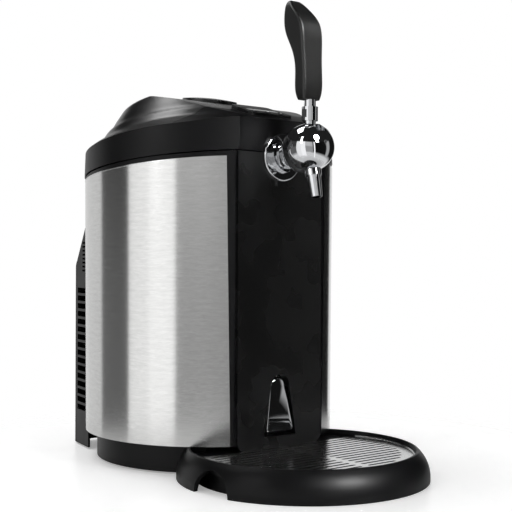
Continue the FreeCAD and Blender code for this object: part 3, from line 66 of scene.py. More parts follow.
# How far the side panels' upper edge rises for each unit towards the back.
PANEL_SLOPE = 0.0964

# The radius at which distances round the cabinet's wall are measured.
WALL_RADIUS = 139 * MM

# How far the pad that holds the keys runs towards the back, and how far it rises over that run.
PAD_RUN = 40.0
PAD_RISE = 13.2

# The refractive index of ABS, and the size of the faint unevenness in its tone and gloss.
ABS_IOR = 1.53
UNEVEN_SIZE = 45 * MM


def srgb(code):
    """Turns an sRGB hex colour into the linear colour that shaders use."""
    channels = [int(code[i:i + 2], 16) / 255 for i in (1, 3, 5)]
    return [c / 12.92 if c <= 0.04045 else ((c + 0.055) / 1.055) ** 2.4 for c in channels]


def shade(colour, factor=1.0):
    """A linear colour made darker or lighter, with full opacity."""
    return (*[min(1.0, c * factor) for c in colour], 1.0)


def colour_property(name, description, code):
    return FloatVectorProperty(name=name, description=description, default=srgb(code),
                               size=3, min=0.0, max=1.0, subtype="COLOR")


def length_property(name, description, millimetres):
    return FloatProperty(name=name, description=description, default=millimetres * MM,
                         min=0.0, unit="LENGTH", subtype="DISTANCE", precision=5)


class DispenserFinishes(bpy.types.PropertyGroup):
    moulded_black: colour_property("Moulded black", "Satin ABS of the housings", "#060607")
    handle_black: colour_property("Handle black", "Soft matt plastic of the tap handle", "#070707")
    panel_black: colour_property("Panel black", "Smooth plastic of the front panel", "#060606")
    steel: colour_property("Steel", "Brushed stainless steel of the side panels", "#d2d2d1")
    plate_steel: colour_property("Plate steel", "Stainless steel of the drip plate", "#cfd0d0")
    chrome: colour_property("Chrome", "Bright plating of the tap", "#cfd0d2")
    aluminium: colour_property("Aluminium", "Drawn and extruded aluminium inside", "#c3c6c8")
    foam: colour_property("Foam", "Rigid foam round the keg chamber", "#e4dcc0")
    streak_height: length_property("Streak height", "Height of one brushed streak", 0.8)
    streak_length: length_property("Streak length", "Length of one brushed streak", 6.0)
    moulding_grain: length_property("Moulding grain", "Size of the fine spark-eroded grain", 0.7)


class DispenserStudio(bpy.types.PropertyGroup):
    camera_back: length_property("Camera distance", "From the cabinet's axis to the camera", 1181.8)
    camera_height: length_property("Camera height", "Height of the camera above the floor", 222.8)
    lens: FloatProperty(name="Lens", description="Focal length on a 36 mm sensor",
                        default=73.17, min=1.0, unit="CAMERA")
    azimuth: FloatProperty(name="Azimuth", description="Camera's turn from the front towards the left side",
                           default=math.radians(38.33), unit="ROTATION", subtype="ANGLE")
    roll: FloatProperty(name="Roll", description="Camera's turn about its own line of sight",
                        default=math.radians(0.22), unit="ROTATION", subtype="ANGLE")
    side_step: length_property("Side step", "How far the camera stands to the right of the axis", 53.3)


def add_node(tree, kind, inputs=None, **settings):
    """Adds one node, sets its properties, and links or sets each of the given inputs."""
    node = tree.nodes.new(kind)
    for key, value in settings.items():
        setattr(node, key, value)
    for key, value in (inputs or {}).items():
        if isinstance(value, bpy.types.NodeSocket):
            tree.links.new(value, node.inputs[key])
        else:
            node.inputs[key].default_value = value
    return node


def calculate(tree, operation, first, second):
    """One sum on two numbers."""
    return add_node(tree, "ShaderNodeMath", {0: first, 1: second}, operation=operation).outputs[0]


def mix_number(tree, factor, low, high):
    """A number between two others."""
    node = add_node(tree, "ShaderNodeMix", {"Factor": factor, "A": low, "B": high}, data_type="FLOAT")
    return node.outputs["Result"]


def mix_colour(tree, factor, low, high, start=0.3, end=0.7):
    """A two-colour blend driven by a pattern."""
    ramp = add_node(tree, "ShaderNodeValToRGB", {"Fac": factor})
    ramp.color_ramp.elements[0].position = start
    ramp.color_ramp.elements[1].position = end
    ramp.color_ramp.elements[0].color = low
    ramp.color_ramp.elements[1].color = high
    return ramp.outputs["Color"]


def spread(tree, value, low, high, start=0.3, end=0.7, **settings):
    """A number that goes from low to high while another goes from start to end."""
    node = add_node(tree, "ShaderNodeMapRange", {"Value": value, "From Min": start, "From Max": end,
                                                 "To Min": low, "To Max": high}, **settings)
    return node.outputs["Result"]


def noise(tree, point, scale, detail=2.0, roughness=0.5):
    """A soft uneven pattern."""
    node = add_node(tree, "ShaderNodeTexNoise", {"Vector": point, "Scale": scale, "Detail": detail,
                                                 "Roughness": roughness})
    return node.outputs["Fac"]


def relief(tree, pattern, strength, depth):
    """The fine relief that a pattern gives a surface."""
    node = add_node(tree, "ShaderNodeBump", {"Height": pattern, "Strength": strength, "Distance": depth})
    return node.outputs["Normal"]


def object_point(tree):
    return add_node(tree, "ShaderNodeTexCoord").outputs["Object"]


def new_material(name):
    """An empty material with its output node."""
    material = bpy.data.materials.new(name)
    material.use_nodes = True
    tree = material.node_tree
    tree.nodes.clear()
    output = add_node(tree, "ShaderNodeOutputMaterial")
    return material, tree, output


def finish_material(tree, output, inputs):
    """Gives a material its surface shader."""
    shader = add_node(tree, "ShaderNodeBsdfPrincipled", inputs)
    tree.links.new(shader.outputs["BSDF"], output.inputs["Surface"])


def moulded_plastic(name, colour, grain, roughness, bump=0.12, gloss=0.5):
    """Injection-moulded ABS: a spark-eroded grain breaks its reflections into a soft satin sheen."""
    material, tree, output = new_material(name)
    point = object_point(tree)
    fine = noise(tree, point, 1 / grain, 3.0, 0.6)
    broad = noise(tree, point, 1 / UNEVEN_SIZE)
    finish_material(tree, output, {
        "Base Color": mix_colour(tree, broad, shade(colour, 0.85), shade(colour, 1.2)),
        "Roughness": spread(tree, broad, roughness - 0.03, roughness + 0.04),
        "Normal": relief(tree, fine, bump, 0.12 * MM),
        "IOR": ABS_IOR,
        "Specular IOR Level": gloss})
    return material


def round_point(tree):
    """The distance round the cabinet, the height and the level tangent of its wall."""
    offset = add_node(tree, "ShaderNodeMapping", {"Vector": object_point(tree),
                                                  "Location": (0.0, -CABINET_AXIS_Y, 0.0)})
    parts = add_node(tree, "ShaderNodeSeparateXYZ", {"Vector": offset.outputs["Vector"]})
    angle = calculate(tree, "ARCTAN2", parts.outputs["X"], parts.outputs["Y"])
    along = calculate(tree, "MULTIPLY", angle, WALL_RADIUS)
    tangent = add_node(tree, "ShaderNodeVectorMath", {0: (0.0, 0.0, 1.0), 1: offset.outputs["Vector"]},
                       operation="CROSS_PRODUCT")
    level = add_node(tree, "ShaderNodeVectorMath", {0: tangent.outputs["Vector"]}, operation="NORMALIZE")
    return along, parts.outputs["Z"], level.outputs["Vector"]


def streak_noise(tree, along, across, length, height):
    """A noise drawn out along the direction of brushing."""
    place = add_node(tree, "ShaderNodeCombineXYZ", {"X": calculate(tree, "DIVIDE", along, length),
                                                    "Y": calculate(tree, "DIVIDE", across, height)})
    return noise(tree, place.outputs["Vector"], 1.0, 3.0, 0.65)


def brushed_steel(name, colour, settings):
    """Belt-brushed stainless sheet: level streaks smear reflections up and down, not sideways."""
    material, tree, output = new_material(name)
    along, height, tangent = round_point(tree)
    fine = streak_noise(tree, along, height, settings.streak_length, settings.streak_height)
    coarse = streak_noise(tree, along, height, settings.streak_length * 3, settings.streak_height * 4)
    both = calculate(tree, "MULTIPLY", fine, coarse)
    finish_material(tree, output, {
        "Base Color": mix_colour(tree, both, shade(colour, 0.88), shade(colour, 1.03), 0.12, 0.42),
        "Roughness": spread(tree, fine, 0.15, 0.21),
        "Normal": relief(tree, fine, 0.12, 0.06 * MM),
        "Tangent": tangent,
        "Metallic": 1.0,
        "Anisotropic": 0.7,
        "Anisotropic Rotation": 0.25})
    return material


def plate_steel(name, colour):
    """Rolled stainless sheet: nearly bright, with faint polishing lines from side to side."""
    material, tree, output = new_material(name)
    parts = add_node(tree, "ShaderNodeSeparateXYZ", {"Vector": object_point(tree)})
    lines = streak_noise(tree, parts.outputs["X"], parts.outputs["Y"], 30 * MM, 0.7 * MM)
    finish_material(tree, output, {
        "Base Color": mix_colour(tree, lines, shade(colour, 0.9), shade(colour, 1.04)),
        "Roughness": spread(tree, lines, 0.14, 0.24),
        "Metallic": 1.0,
        "Anisotropic": 0.3})
    return material


def bright_plating(name, colour):
    """Nickel and chrome plating on brass: a mirror with very faint swirls from polishing."""
    material, tree, output = new_material(name)
    swirl = noise(tree, object_point(tree), 260.0, 4.0)
    finish_material(tree, output, {
        "Base Color": mix_colour(tree, swirl, shade(colour, 0.97), shade(colour)),
        "Roughness": spread(tree, swirl, 0.025, 0.06),
        "Metallic": 1.0})
    return material


def metal(name, colour, low, high, scale, stretch):
    """Plain inner metal, drawn or ground, with marks drawn out in one direction."""
    material, tree, output = new_material(name)
    place = add_node(tree, "ShaderNodeMapping", {"Vector": object_point(tree), "Scale": stretch})
    marks = noise(tree, place.outputs["Vector"], scale, 4.0)
    finish_material(tree, output, {
        "Base Color": mix_colour(tree, marks, shade(colour, 0.88), shade(colour, 1.05)),
        "Roughness": spread(tree, marks, low, high),
        "Metallic": 1.0})
    return material


def cellular_foam(name, colour):
    """Poured rigid foam: matt, with open pores a few millimetres across, each darkened in its middle as
    painted shade.
    """
    material, tree, output = new_material(name)
    cells = add_node(tree, "ShaderNodeTexVoronoi", {"Vector": object_point(tree), "Scale": 420.0})
    pores = cells.outputs["Distance"]
    # The colour darkens towards the middle of each pore, where the relief sinks: painted shade in the pores.
    finish_material(tree, output, {
        "Base Color": mix_colour(tree, pores, shade(colour, 0.8), shade(colour)),
        "Normal": relief(tree, pores, 0.5, 0.4 * MM),
        "Roughness": 0.9})
    return material


def soft_rubber(name, code, scale=900.0):
    """Moulded rubber: matt and slightly dusty."""
    colour = srgb(code)
    material, tree, output = new_material(name)
    dust = noise(tree, object_point(tree), scale, 5.0)
    finish_material(tree, output, {
        "Base Color": mix_colour(tree, dust, shade(colour, 0.8), shade(colour, 1.4)),
        "Roughness": spread(tree, dust, 0.6, 0.8)})
    return material


def give_material(item, material):
    item.data.materials.clear()
    item.data.materials.append(material)


def dress(node_names, material):
    """Gives CAD nodes a material in place of their plain one."""
    for name in node_names:
        give_material(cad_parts[name], material)


def clear_selection():
    if bpy.context.object and bpy.context.object.mode != "OBJECT":
        bpy.ops.object.mode_set(mode="OBJECT")
    bpy.ops.object.select_all(action="DESELECT")


def name_piece(name, material):
    """Names the new piece, applies its place to its mesh and gives it its material."""
    piece = bpy.context.object
    piece.name = name
    piece.data.name = name
    bpy.ops.object.transform_apply(location=True, rotation=True, scale=True)
    give_material(piece, material)
    return piece


def join_pieces(pieces, name):
    clear_selection()
    for piece in pieces:
        piece.select_set(True)
    bpy.context.view_layer.objects.active = pieces[0]
    bpy.ops.object.join()
    joined = bpy.context.object
    joined.name = name
    joined.data.name = name
    return joined


class DISPENSER_OT_housings(bpy.types.Operator):
    """Gives the moulded housings, lid and tray their satin black plastic"""
    bl_idname = "dispenser.housings"
    bl_label = "Moulded housings"

    def execute(self, context):
        looks = context.scene.dispenser_finishes
        grain = looks.moulding_grain
        satin = moulded_plastic("moulded_abs_satin", looks.moulded_black, grain, 0.4, gloss=0.16)
        dress(["base_plinth", "outer_shell", "rear_hood", "top_ring", "control_pod", "drip_tray",
               "inner_collar", "keg_coupler", "mains_inlet", "fan_frame"], satin)
        lid = moulded_plastic("moulded_abs_lid", looks.moulded_black, grain, 0.3, bump=0.08)
        dress(["lid_shell"], lid)
        smooth = moulded_plastic("polished_abs_panel", looks.panel_black, grain, 0.27, bump=0.05)
        dress(["front_panel", "pressure_knob"], smooth)
        handle = moulded_plastic("soft_touch_handle", looks.handle_black, grain, 0.42, bump=0.2)
        dress(["tap_handle"], handle)
        grey = moulded_plastic("grey_abs", srgb("#6d6e70"), grain, 0.4)
        dress(["knob_pedestal", "fan_rotor", "power_supply"], grey)
        return {"FINISHED"}


class DISPENSER_OT_metals(bpy.types.Operator):
    """Gives the side panels, drip plate, tap and inner metal parts their finish"""
    bl_idname = "dispenser.metals"
    bl_label = "Metal parts"

    def execute(self, context):
        looks = context.scene.dispenser_finishes
        dress(["side_panel_left", "side_panel_right"], brushed_steel("brushed_stainless", looks.steel, looks))
        dress(["drip_plate"], plate_steel("rolled_stainless", looks.plate_steel))
        dress(["tap_flange", "tap_shank", "tap_neck", "tap_body", "tap_cap", "tap_spout", "spout_collar",
               "tap_lever", "lever_collar", "drain_spout"], bright_plating("chrome_plating", looks.chrome))
        dress(["keg_tub"], metal("drawn_aluminium", looks.aluminium, 0.28, 0.42, 90.0, (1, 1, 0.1)))
        dress(["cold_block", "heat_sink", "cartridge_holder"],
              metal("extruded_aluminium", looks.aluminium, 0.3, 0.5, 220.0, (1, 1, 0.05)))
        dress(["hinge_pin", "lever_pin", "shank_nut", "gas_regulator", "valve_plunger"],
              metal("ground_steel", srgb("#b4b5b6"), 0.2, 0.35, 300.0, (0.1, 1, 1)))
        return {"FINISHED"}


class DISPENSER_OT_soft_parts(bpy.types.Operator):
    """Gives the foam, seals, feet, hose, keys and window their finish"""
    bl_idname = "dispenser.soft_parts"
    bl_label = "Foam, rubber and window"

    def execute(self, context):
        looks = context.scene.dispenser_finishes
        dress(["insulation", "lid_liner"], cellular_foam("rigid_foam", looks.foam))
        dress(["lid_seal", "rubber_feet"], soft_rubber("moulded_rubber", "#202021"))
        dress(["temperature_down_button", "power_button", "temperature_up_button"],
              soft_rubber("silicone_key", "#3a3b3d", 1400.0))
        dress(["beer_line"], soft_rubber("milky_hose", "#c9ced0", 500.0))
        dress(["peltier_module"], soft_rubber("ceramic_plate", "#e6e4dd", 600.0))
        window = moulded_plastic("smoked_window", srgb("#0b0d10"), 2 * MM, 0.09, bump=0.02)
        dress(["display_window"], window)
        return {"FINISHED"}


def pod_face():
    """The middle, the upward slope and the normal of the sloping face that holds the keys."""
    low, high = [Vector(corner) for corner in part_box("power_button")]
    centre = (low + high) / 2
    slope = Vector((0.0, PAD_RUN, PAD_RISE)).normalized()
    normal = Vector((1.0, 0.0, 0.0)).cross(slope)
    return centre, slope, normal


def mark_block(size, centre, turn):
    """One raised stroke with softened corners."""
    clear_selection()
    bpy.ops.mesh.primitive_cube_add(size=1.0, location=centre, rotation=turn)
    stroke = bpy.context.object
    stroke.scale = size
    bpy.ops.object.transform_apply(location=False, rotation=False, scale=True)
    bevel = stroke.modifiers.new("Edge", "BEVEL")
    bevel.width = min(size) * 0.3
    bevel.segments = 2
    bpy.ops.object.modifier_apply(modifier=bevel.name)
    bpy.ops.object.transform_apply(location=True, rotation=True, scale=True)
    return stroke


class DISPENSER_OT_key_marks(bpy.types.Operator):
    """Raises plain minus, plus and standby marks on the three keys"""
    bl_idname = "dispenser.key_marks"
    bl_label = "Key marks"

    def execute(self, context):
        paint = soft_rubber("printed_mark", "#d9dadb", 1500.0)
        centre, slope, normal = pod_face()
        turn = Matrix((Vector((1, 0, 0)), slope, normal)).transposed().to_euler()
        bar_length, bar_width, bar_height = 2.6 * MM, 0.5 * MM, 0.3 * MM
        lift = normal * 1.25 * MM
        for key, body in (("temperature_down_button", "down_key"), ("temperature_up_button", "up_key")):
            low, high = [Vector(corner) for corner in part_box(key)]
            spot = (low + high) / 2 + lift
            strokes = [mark_block((bar_length, bar_width, bar_height), spot, turn)]
            if body == "up_key":
                strokes.append(mark_block((bar_width, bar_length, bar_height), spot, turn))
            mark = join_pieces(strokes, body + "_mark")
            give_material(mark, paint)
            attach(mark, body)
        ring_radius, ring_wire = 1.2 * MM, 0.22 * MM
        stem_width, stem_length, stem_offset = bar_width * 0.9, 1.5 * MM, 1.1 * MM
        clear_selection()
        bpy.ops.mesh.primitive_torus_add(major_radius=ring_radius, minor_radius=ring_wire, major_segments=32,
                                         minor_segments=8, location=centre + lift, rotation=turn)
        ring = bpy.context.object
        bpy.ops.object.transform_apply(location=True, rotation=True, scale=True)
        stem_spot = centre + lift + slope * stem_offset
        stroke = mark_block((stem_width, stem_length, bar_height), stem_spot, turn)
        mark = join_pieces([ring, stroke], "power_key_mark")
        give_material(mark, paint)
        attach(mark, "power_key")
        return {"FINISHED"}


def select_faces(mesh, test):
    """Selects only the faces of the edited mesh that pass a test on their normal."""
    bpy.ops.mesh.select_all(action="DESELECT")
    faces = bmesh.from_edit_mesh(mesh)
    for face in faces.faces:
        face.select = test(face.normal)
    faces.select_flush_mode()
    bmesh.update_edit_mesh(mesh)


def select_corners(mesh, test):
    """Selects only the corners of the edited mesh that pass a test on their place."""
    bpy.ops.mesh.select_all(action="DESELECT")
    corners = bmesh.from_edit_mesh(mesh)
    for corner in corners.verts:
        corner.select = test(corner.co)
    corners.select_flush_mode()
    bmesh.update_edit_mesh(mesh)


def soften_edges(piece, name, width, segments, limit):
    """Rounds every edge of a piece that turns by more than a limit in degrees."""
    edge = piece.modifiers.new(name, "BEVEL")
    edge.width = width
    edge.segments = segments
    edge.angle_limit = math.radians(limit)
    bpy.ops.object.modifier_apply(modifier=edge.name)


def chute_outline(low, high, face_y, arch_height, arch_radius):
    """The chute's flat front face: an arch over straight sides that part towards the rounded foot."""
    foot_corner = 4 * MM
    bpy.ops.mesh.primitive_circle_add(vertices=48, radius=arch_radius, fill_type="NOTHING",
                                      location=(0, face_y, arch_height), rotation=(math.pi / 2, 0, 0))
    chute = bpy.context.object
    bpy.ops.object.transform_apply(location=True, rotation=True, scale=True)
    bpy.ops.object.mode_set(mode="EDIT")
    bpy.ops.mesh.select_mode(type="VERT")
    select_corners(chute.data, lambda place: place.z < arch_height - TINY)
    bpy.ops.mesh.delete(type="VERT")
    select_corners(chute.data, lambda place: place.z < arch_height + TINY)
    bpy.ops.mesh.extrude_region_move(TRANSFORM_OT_translate={"value": (0, 0, low.z - arch_height)})
    bpy.ops.transform.resize(value=(high.x / arch_radius, 1, 1), center_override=(0, face_y, low.z))
    bpy.ops.mesh.edge_face_add()
    bpy.ops.mesh.bevel(offset=foot_corner, segments=6, affect="VERTICES")
    bpy.ops.mesh.select_all(action="SELECT")
    bpy.ops.mesh.edge_face_add()
    return chute


class DISPENSER_OT_chute(bpy.types.Operator):
    """Models the plated drain chute: an arched hollow with a rolled rim over a flared lip"""
    bl_idname = "dispenser.chute"
    bl_label = "Drain chute"

    def execute(self, context):
        low, high = [Vector(corner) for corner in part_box("drain_spout")]
        arch_radius = 10.0 * MM
        arch_height = high.z - arch_radius
        flare = 4.0 * MM
        rim_width, hollow_depth = 2.2 * MM, 9 * MM
        slope_height, slope_run, slope_lift = 25 * MM, 8.4 * MM, 1.5 * MM
        slope_step = 5 * MM
        lip_height, lip_depth, lip_gap = 7 * MM, 2 * MM, 0.2 * MM
        face_y = low.y + flare
        clear_selection()
        chute = chute_outline(low, high, face_y, arch_height, arch_radius)
        mesh = chute.data
        bpy.ops.mesh.extrude_region_move(TRANSFORM_OT_translate={"value": (0, high.y - face_y, 0)})
        bpy.ops.mesh.select_all(action="SELECT")
        bpy.ops.mesh.normals_make_consistent(inside=False)
        select_faces(mesh, lambda normal: normal.y < -0.9)
        bpy.ops.mesh.inset(thickness=rim_width)
        bpy.ops.mesh.extrude_region_move(TRANSFORM_OT_translate={"value": (0, hollow_depth, 0)})
        bpy.ops.transform.resize(value=(0.93, 1, 0.97), center_override=(0, face_y, arch_height))
        slope_top = low.z + slope_height
        bpy.ops.mesh.bisect(plane_co=(0, 0, slope_top), plane_no=(0, 0, 1))
        inner_y = face_y + hollow_depth - TINY
        select_corners(mesh, lambda place: place.z < slope_top - slope_step
                       and inner_y < place.y < high.y - TINY)
        bpy.ops.transform.translate(value=(0, -slope_run, slope_lift))
        select_corners(mesh, lambda place: place.z < low.z + lip_height and place.y < face_y + lip_depth)
        bpy.ops.transform.translate(value=(0, -flare + lip_gap, 0))
        bpy.ops.mesh.select_all(action="SELECT")
        bpy.ops.mesh.normals_make_consistent(inside=False)
        bpy.ops.object.mode_set(mode="OBJECT")
        soften_edges(chute, "Rolled rim", 0.8 * MM, 4, 30)
        bpy.ops.object.shade_smooth_by_angle(angle=math.radians(40))
        piece = name_piece("drain_chute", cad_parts["tap_neck"].data.materials[0])
        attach(piece, "cabinet")
        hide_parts("drain_spout")
        return {"FINISHED"}


def rolled_edge(name, side, material):
    """The folded upper edge of one steel side panel: a thin bead round the cabinet."""
    low, high = [Vector(corner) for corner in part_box("side_panel_left")]
    bead_width, bead_height, first_slice = 0.8 * MM, 1.0 * MM, 0.2 * MM
    sink = 0.7 * MM
    radius = WALL_RADIUS + 0.1 * MM
    start, end = math.radians(29.0), math.radians(134.0)
    clear_selection()
    bpy.ops.mesh.primitive_cube_add(size=1.0, location=(0, 0, 0))
    bead = bpy.context.object
    bead.scale = (bead_width, first_slice, bead_height)
    bpy.ops.object.transform_apply(location=False, rotation=False, scale=True)
    bead.rotation_euler = (0, 0, side * start - math.pi / 2)
    bead.location = (side * radius * math.sin(start), -radius * math.cos(start), 0)
    bpy.ops.object.transform_apply(location=True, rotation=True, scale=True)
    ahead = Vector((math.cos(start) * side, math.sin(start), 0))
    bpy.ops.object.mode_set(mode="EDIT")
    bpy.ops.mesh.select_mode(type="FACE")
    select_faces(bead.data, lambda normal: normal.dot(ahead) > 0.9)
    bpy.ops.mesh.spin(steps=60, angle=side * (start - end), center=(0, 0, 0), axis=(0, 0, 1))
    bpy.ops.object.mode_set(mode="OBJECT")
    soften_edges(bead, "Fold", 0.3 * MM, 3, 50)
    bpy.ops.object.shade_smooth_by_angle(angle=math.radians(50))
    bead.rotation_euler = (-math.atan(PANEL_SLOPE), 0, 0)
    bead.location = (0, CABINET_AXIS_Y, high.z - PANEL_SLOPE * (CABINET_AXIS_Y - low.y) - sink)
    return name_piece(name, material)


class DISPENSER_OT_panel_edges(bpy.types.Operator):
    """Folds a thin bright bead along the upper edge of each steel side panel"""
    bl_idname = "dispenser.panel_edges"
    bl_label = "Panel edges"

    def execute(self, context):
        steel = plate_steel("folded_steel_edge", context.scene.dispenser_finishes.plate_steel)
        for name, side in (("left_panel_edge", -1), ("right_panel_edge", 1)):
            bead = rolled_edge(name, side, steel)
            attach(bead, "cabinet")
        return {"FINISHED"}


def cross_screw(name, centre, direction, radius, height, material):
    """A pan-head screw with a cross recess, its head facing a direction."""
    slot_size = (radius * 1.2, radius * 0.24, height * 0.9)
    clear_selection()
    bpy.ops.mesh.primitive_cylinder_add(vertices=48, radius=radius, depth=height, location=(0, 0, 0))
    head = bpy.context.object
    bevel = head.modifiers.new("Crown", "BEVEL")
    bevel.width = height * 0.45
    bevel.segments = 3
    bevel.limit_method = "ANGLE"
    bpy.ops.object.modifier_apply(modifier=bevel.name)
    for turn in (0.0, math.pi / 2):
        clear_selection()
        bpy.ops.mesh.primitive_cube_add(size=1.0, location=(0, 0, height * 0.5), rotation=(0, 0, turn))
        cutter = bpy.context.object
        cutter.scale = slot_size
        bpy.ops.object.transform_apply(location=False, rotation=False, scale=True)
        clear_selection()
        head.select_set(True)
        bpy.context.view_layer.objects.active = head
        recess = head.modifiers.new("Recess", "BOOLEAN")
        recess.operation = "DIFFERENCE"
        recess.object = cutter
        bpy.ops.object.modifier_apply(modifier=recess.name)
        bpy.data.objects.remove(cutter, do_unlink=True)
    head.rotation_euler = direction.to_track_quat("Z", "Y").to_euler()
    head.location = centre
    return name_piece(name, material)


def island_boxes(node_name):
    """The middle and the size of each separate solid of a node."""
    mesh = bmesh.new()
    mesh.from_mesh(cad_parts[node_name].data)
    bmesh.ops.remove_doubles(mesh, verts=mesh.verts, dist=1e-6)
    seen = set()
    boxes = []
    for vertex in mesh.verts:
        if vertex.index in seen:
            continue
        group = [vertex]
        seen.add(vertex.index)
        for member in group:
            for edge in member.link_edges:
                other = edge.other_vert(member)
                if other.index not in seen:
                    seen.add(other.index)
                    group.append(other)
        low = Vector([min(v.co[i] for v in group) for i in range(3)])
        high = Vector([max(v.co[i] for v in group) for i in range(3)])
        boxes.append(((low + high) / 2, high - low))
    mesh.free()
    return boxes


class DISPENSER_OT_screws(bpy.types.Operator):
    """Models the cross-recess screws behind the hood and under the plinth"""
    bl_idname = "dispenser.screws"
    bl_label = "Screws"

    def execute(self, context):
        zinc = metal("zinc_plated_screw", srgb("#9a9b9d"), 0.25, 0.4, 500.0, (1, 1, 1))
        for node, direction in (("hood_screws", Vector((0, 1, 0))), ("base_screws", Vector((0, 0, -1)))):
            heads = []
            for index, (centre, size) in enumerate(island_boxes(node)):
                heads.append(cross_screw("%s_%d" % (node, index), centre, direction, max(size) / 2,
                                         min(size), zinc))
            group = join_pieces(heads, node + "_heads")
            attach(group, "cabinet")
            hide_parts(node)
        return {"FINISHED"}


# What bright metal mirrors round the studio: the direction in degrees from the front towards the left,
# and the brightness level with the floor and a little above it.
STUDIO_BANDS = (
    (-180.0, 0.78, 0.78), (-152.0, 0.78, 0.78), (-150.0, 0.9, 0.9), (-116.0, 0.9, 0.9), (-114.0, 0.01, 0.01),
    (-64.0, 0.01, 0.01), (-60.0, 0.5, 0.5), (-48.0, 0.5, 0.5), (-44.0, 0.01, 0.01), (6.0, 0.005, 0.005),
    (7.0, 1.6, 1.6), (12.0, 1.6, 1.6), (13.0, 0.01, 0.01), (17.5, 0.01, 0.01), (19.0, 0.41, 0.6),
    (42.0, 0.44, 0.75), (65.5, 0.43, 0.7), (66.5, 1.4, 1.4), (90.0, 1.4, 1.4), (93.0, 1.22, 1.3),
    (112.5, 1.18, 1.2), (114.0, 0.15, 0.05), (149.5, 0.18, 0.09), (151.5, 0.8, 0.8), (180.0, 0.78, 0.78))

# Each pair of heights of a mirrored direction, from -1 below to 1 above, between which a level changes.
RAISED_FROM = (-0.02, 0.09)
CEILING_FROM = (0.34, 0.37)
FLOOR_UP_TO = (-0.5, -0.3)
CEILING_LEVEL = 0.02
FLOOR_LEVEL = 0.9

# The even brightness that matt surfaces receive from all round.
EVEN_LEVEL = 0.55

# The round key light in front and above that the tray's rim mirrors, how it fades at its edge as the
# cosine of the angle from its middle, and its brightness.
KEY_DIRECTION = (0.12, -0.78, 0.61)
KEY_EDGE = (0.980, 0.993)
KEY_LEVEL = 60.0

# How much the floor is lifted towards white for the camera, and the distances between which it fades out.
FLOOR_LIFT = 0.3
FLOOR_FADE = (0.3, 0.44)

# Each lamp's name, place, the point that it looks at, its size and its power in watts.
LAMPS = (
    ("back_softbox", (-0.35, 0.75, 1.75), (0.0, 0.0, 0.25), (0.9, 0.5), 9.0),
    ("left_softbox", (-1.5, -0.1, 1.1), (0.0, 0.0, 0.25), (0.3, 0.9), 4.0),
    ("front_softbox", (0.14, -1.38, 0.94), (-0.04, -0.21, 0.02), (0.3, 0.3), 3.0))


def light_ramp(tree, turn, bands):
    """A brightness that changes with the direction round the studio, which goes from 0 to 1."""
    stops = [((degrees + 180) / 360, level) for degrees, level in bands]
    curve = add_node(tree, "ShaderNodeFloatCurve", {"Value": turn})
    line = curve.mapping.curves[0]
    highest = max(level for place, level in stops)
    while len(line.points) > 2:
        line.points.remove(line.points[1])
    for index, (place, level) in enumerate(stops):
        if index == 0:
            line.points[0].location = (place, level / highest)
        elif index == len(stops) - 1:
            line.points[len(line.points) - 1].location = (place, level / highest)
        else:
            line.points.new(place, level / highest)
    for point in line.points:
        point.handle_type = "VECTOR"
    curve.mapping.update()
    return calculate(tree, "MULTIPLY", curve.outputs["Value"], highest)


def studio_turn(tree, parts):
    """The direction round the studio as a number from 0 to 1, with the front at 0.5."""
    left = calculate(tree, "MULTIPLY", parts.outputs["X"], -1.0)
    front = calculate(tree, "MULTIPLY", parts.outputs["Y"], -1.0)
    angle = calculate(tree, "ARCTAN2", left, front)
    return spread(tree, angle, 0.0, 1.0, -math.pi, math.pi)


def mirrored_studio(tree):
    """The brightness of what bright metal mirrors: bands, a dark ceiling, the floor and the key light."""
    direction = add_node(tree, "ShaderNodeTexCoord").outputs["Generated"]
    parts = add_node(tree, "ShaderNodeSeparateXYZ", {"Vector": direction})
    height = parts.outputs["Z"]
    turn = studio_turn(tree, parts)
    low = light_ramp(tree, turn, [(degrees, level) for degrees, level, raised in STUDIO_BANDS])
    high = light_ramp(tree, turn, [(degrees, raised) for degrees, level, raised in STUDIO_BANDS])
    bands = mix_number(tree, spread(tree, height, 0.0, 1.0, *RAISED_FROM), low, high)
    upper = mix_number(tree, spread(tree, height, 0.0, 1.0, *CEILING_FROM), bands, CEILING_LEVEL)
    floor = spread(tree, height, FLOOR_LEVEL, 0.0, *FLOOR_UP_TO)
    around = calculate(tree, "MAXIMUM", upper, floor)
    towards = add_node(tree, "ShaderNodeVectorMath", {0: direction, 1: Vector(KEY_DIRECTION).normalized()},
                       operation="DOT_PRODUCT")
    key = spread(tree, towards.outputs["Value"], 0.0, KEY_LEVEL, *KEY_EDGE, interpolation_type="SMOOTHSTEP")
    return calculate(tree, "MAXIMUM", around, key)


def build_world():
    """White to the camera, even to matt surfaces, and softboxes and dark gaps to bright metal."""
    world = bpy.data.worlds.new("Studio")
    bpy.context.scene.world = world
    world.use_nodes = True
    tree = world.node_tree
    tree.nodes.clear()
    path = add_node(tree, "ShaderNodeLightPath")
    even = mix_number(tree, path.outputs["Is Glossy Ray"], EVEN_LEVEL, mirrored_studio(tree))
    seen = mix_number(tree, path.outputs["Is Camera Ray"], even, 1.0)
    light = add_node(tree, "ShaderNodeBackground", {"Color": WHITE, "Strength": seen})
    add_node(tree, "ShaderNodeOutputWorld", {"Surface": light.outputs["Background"]})


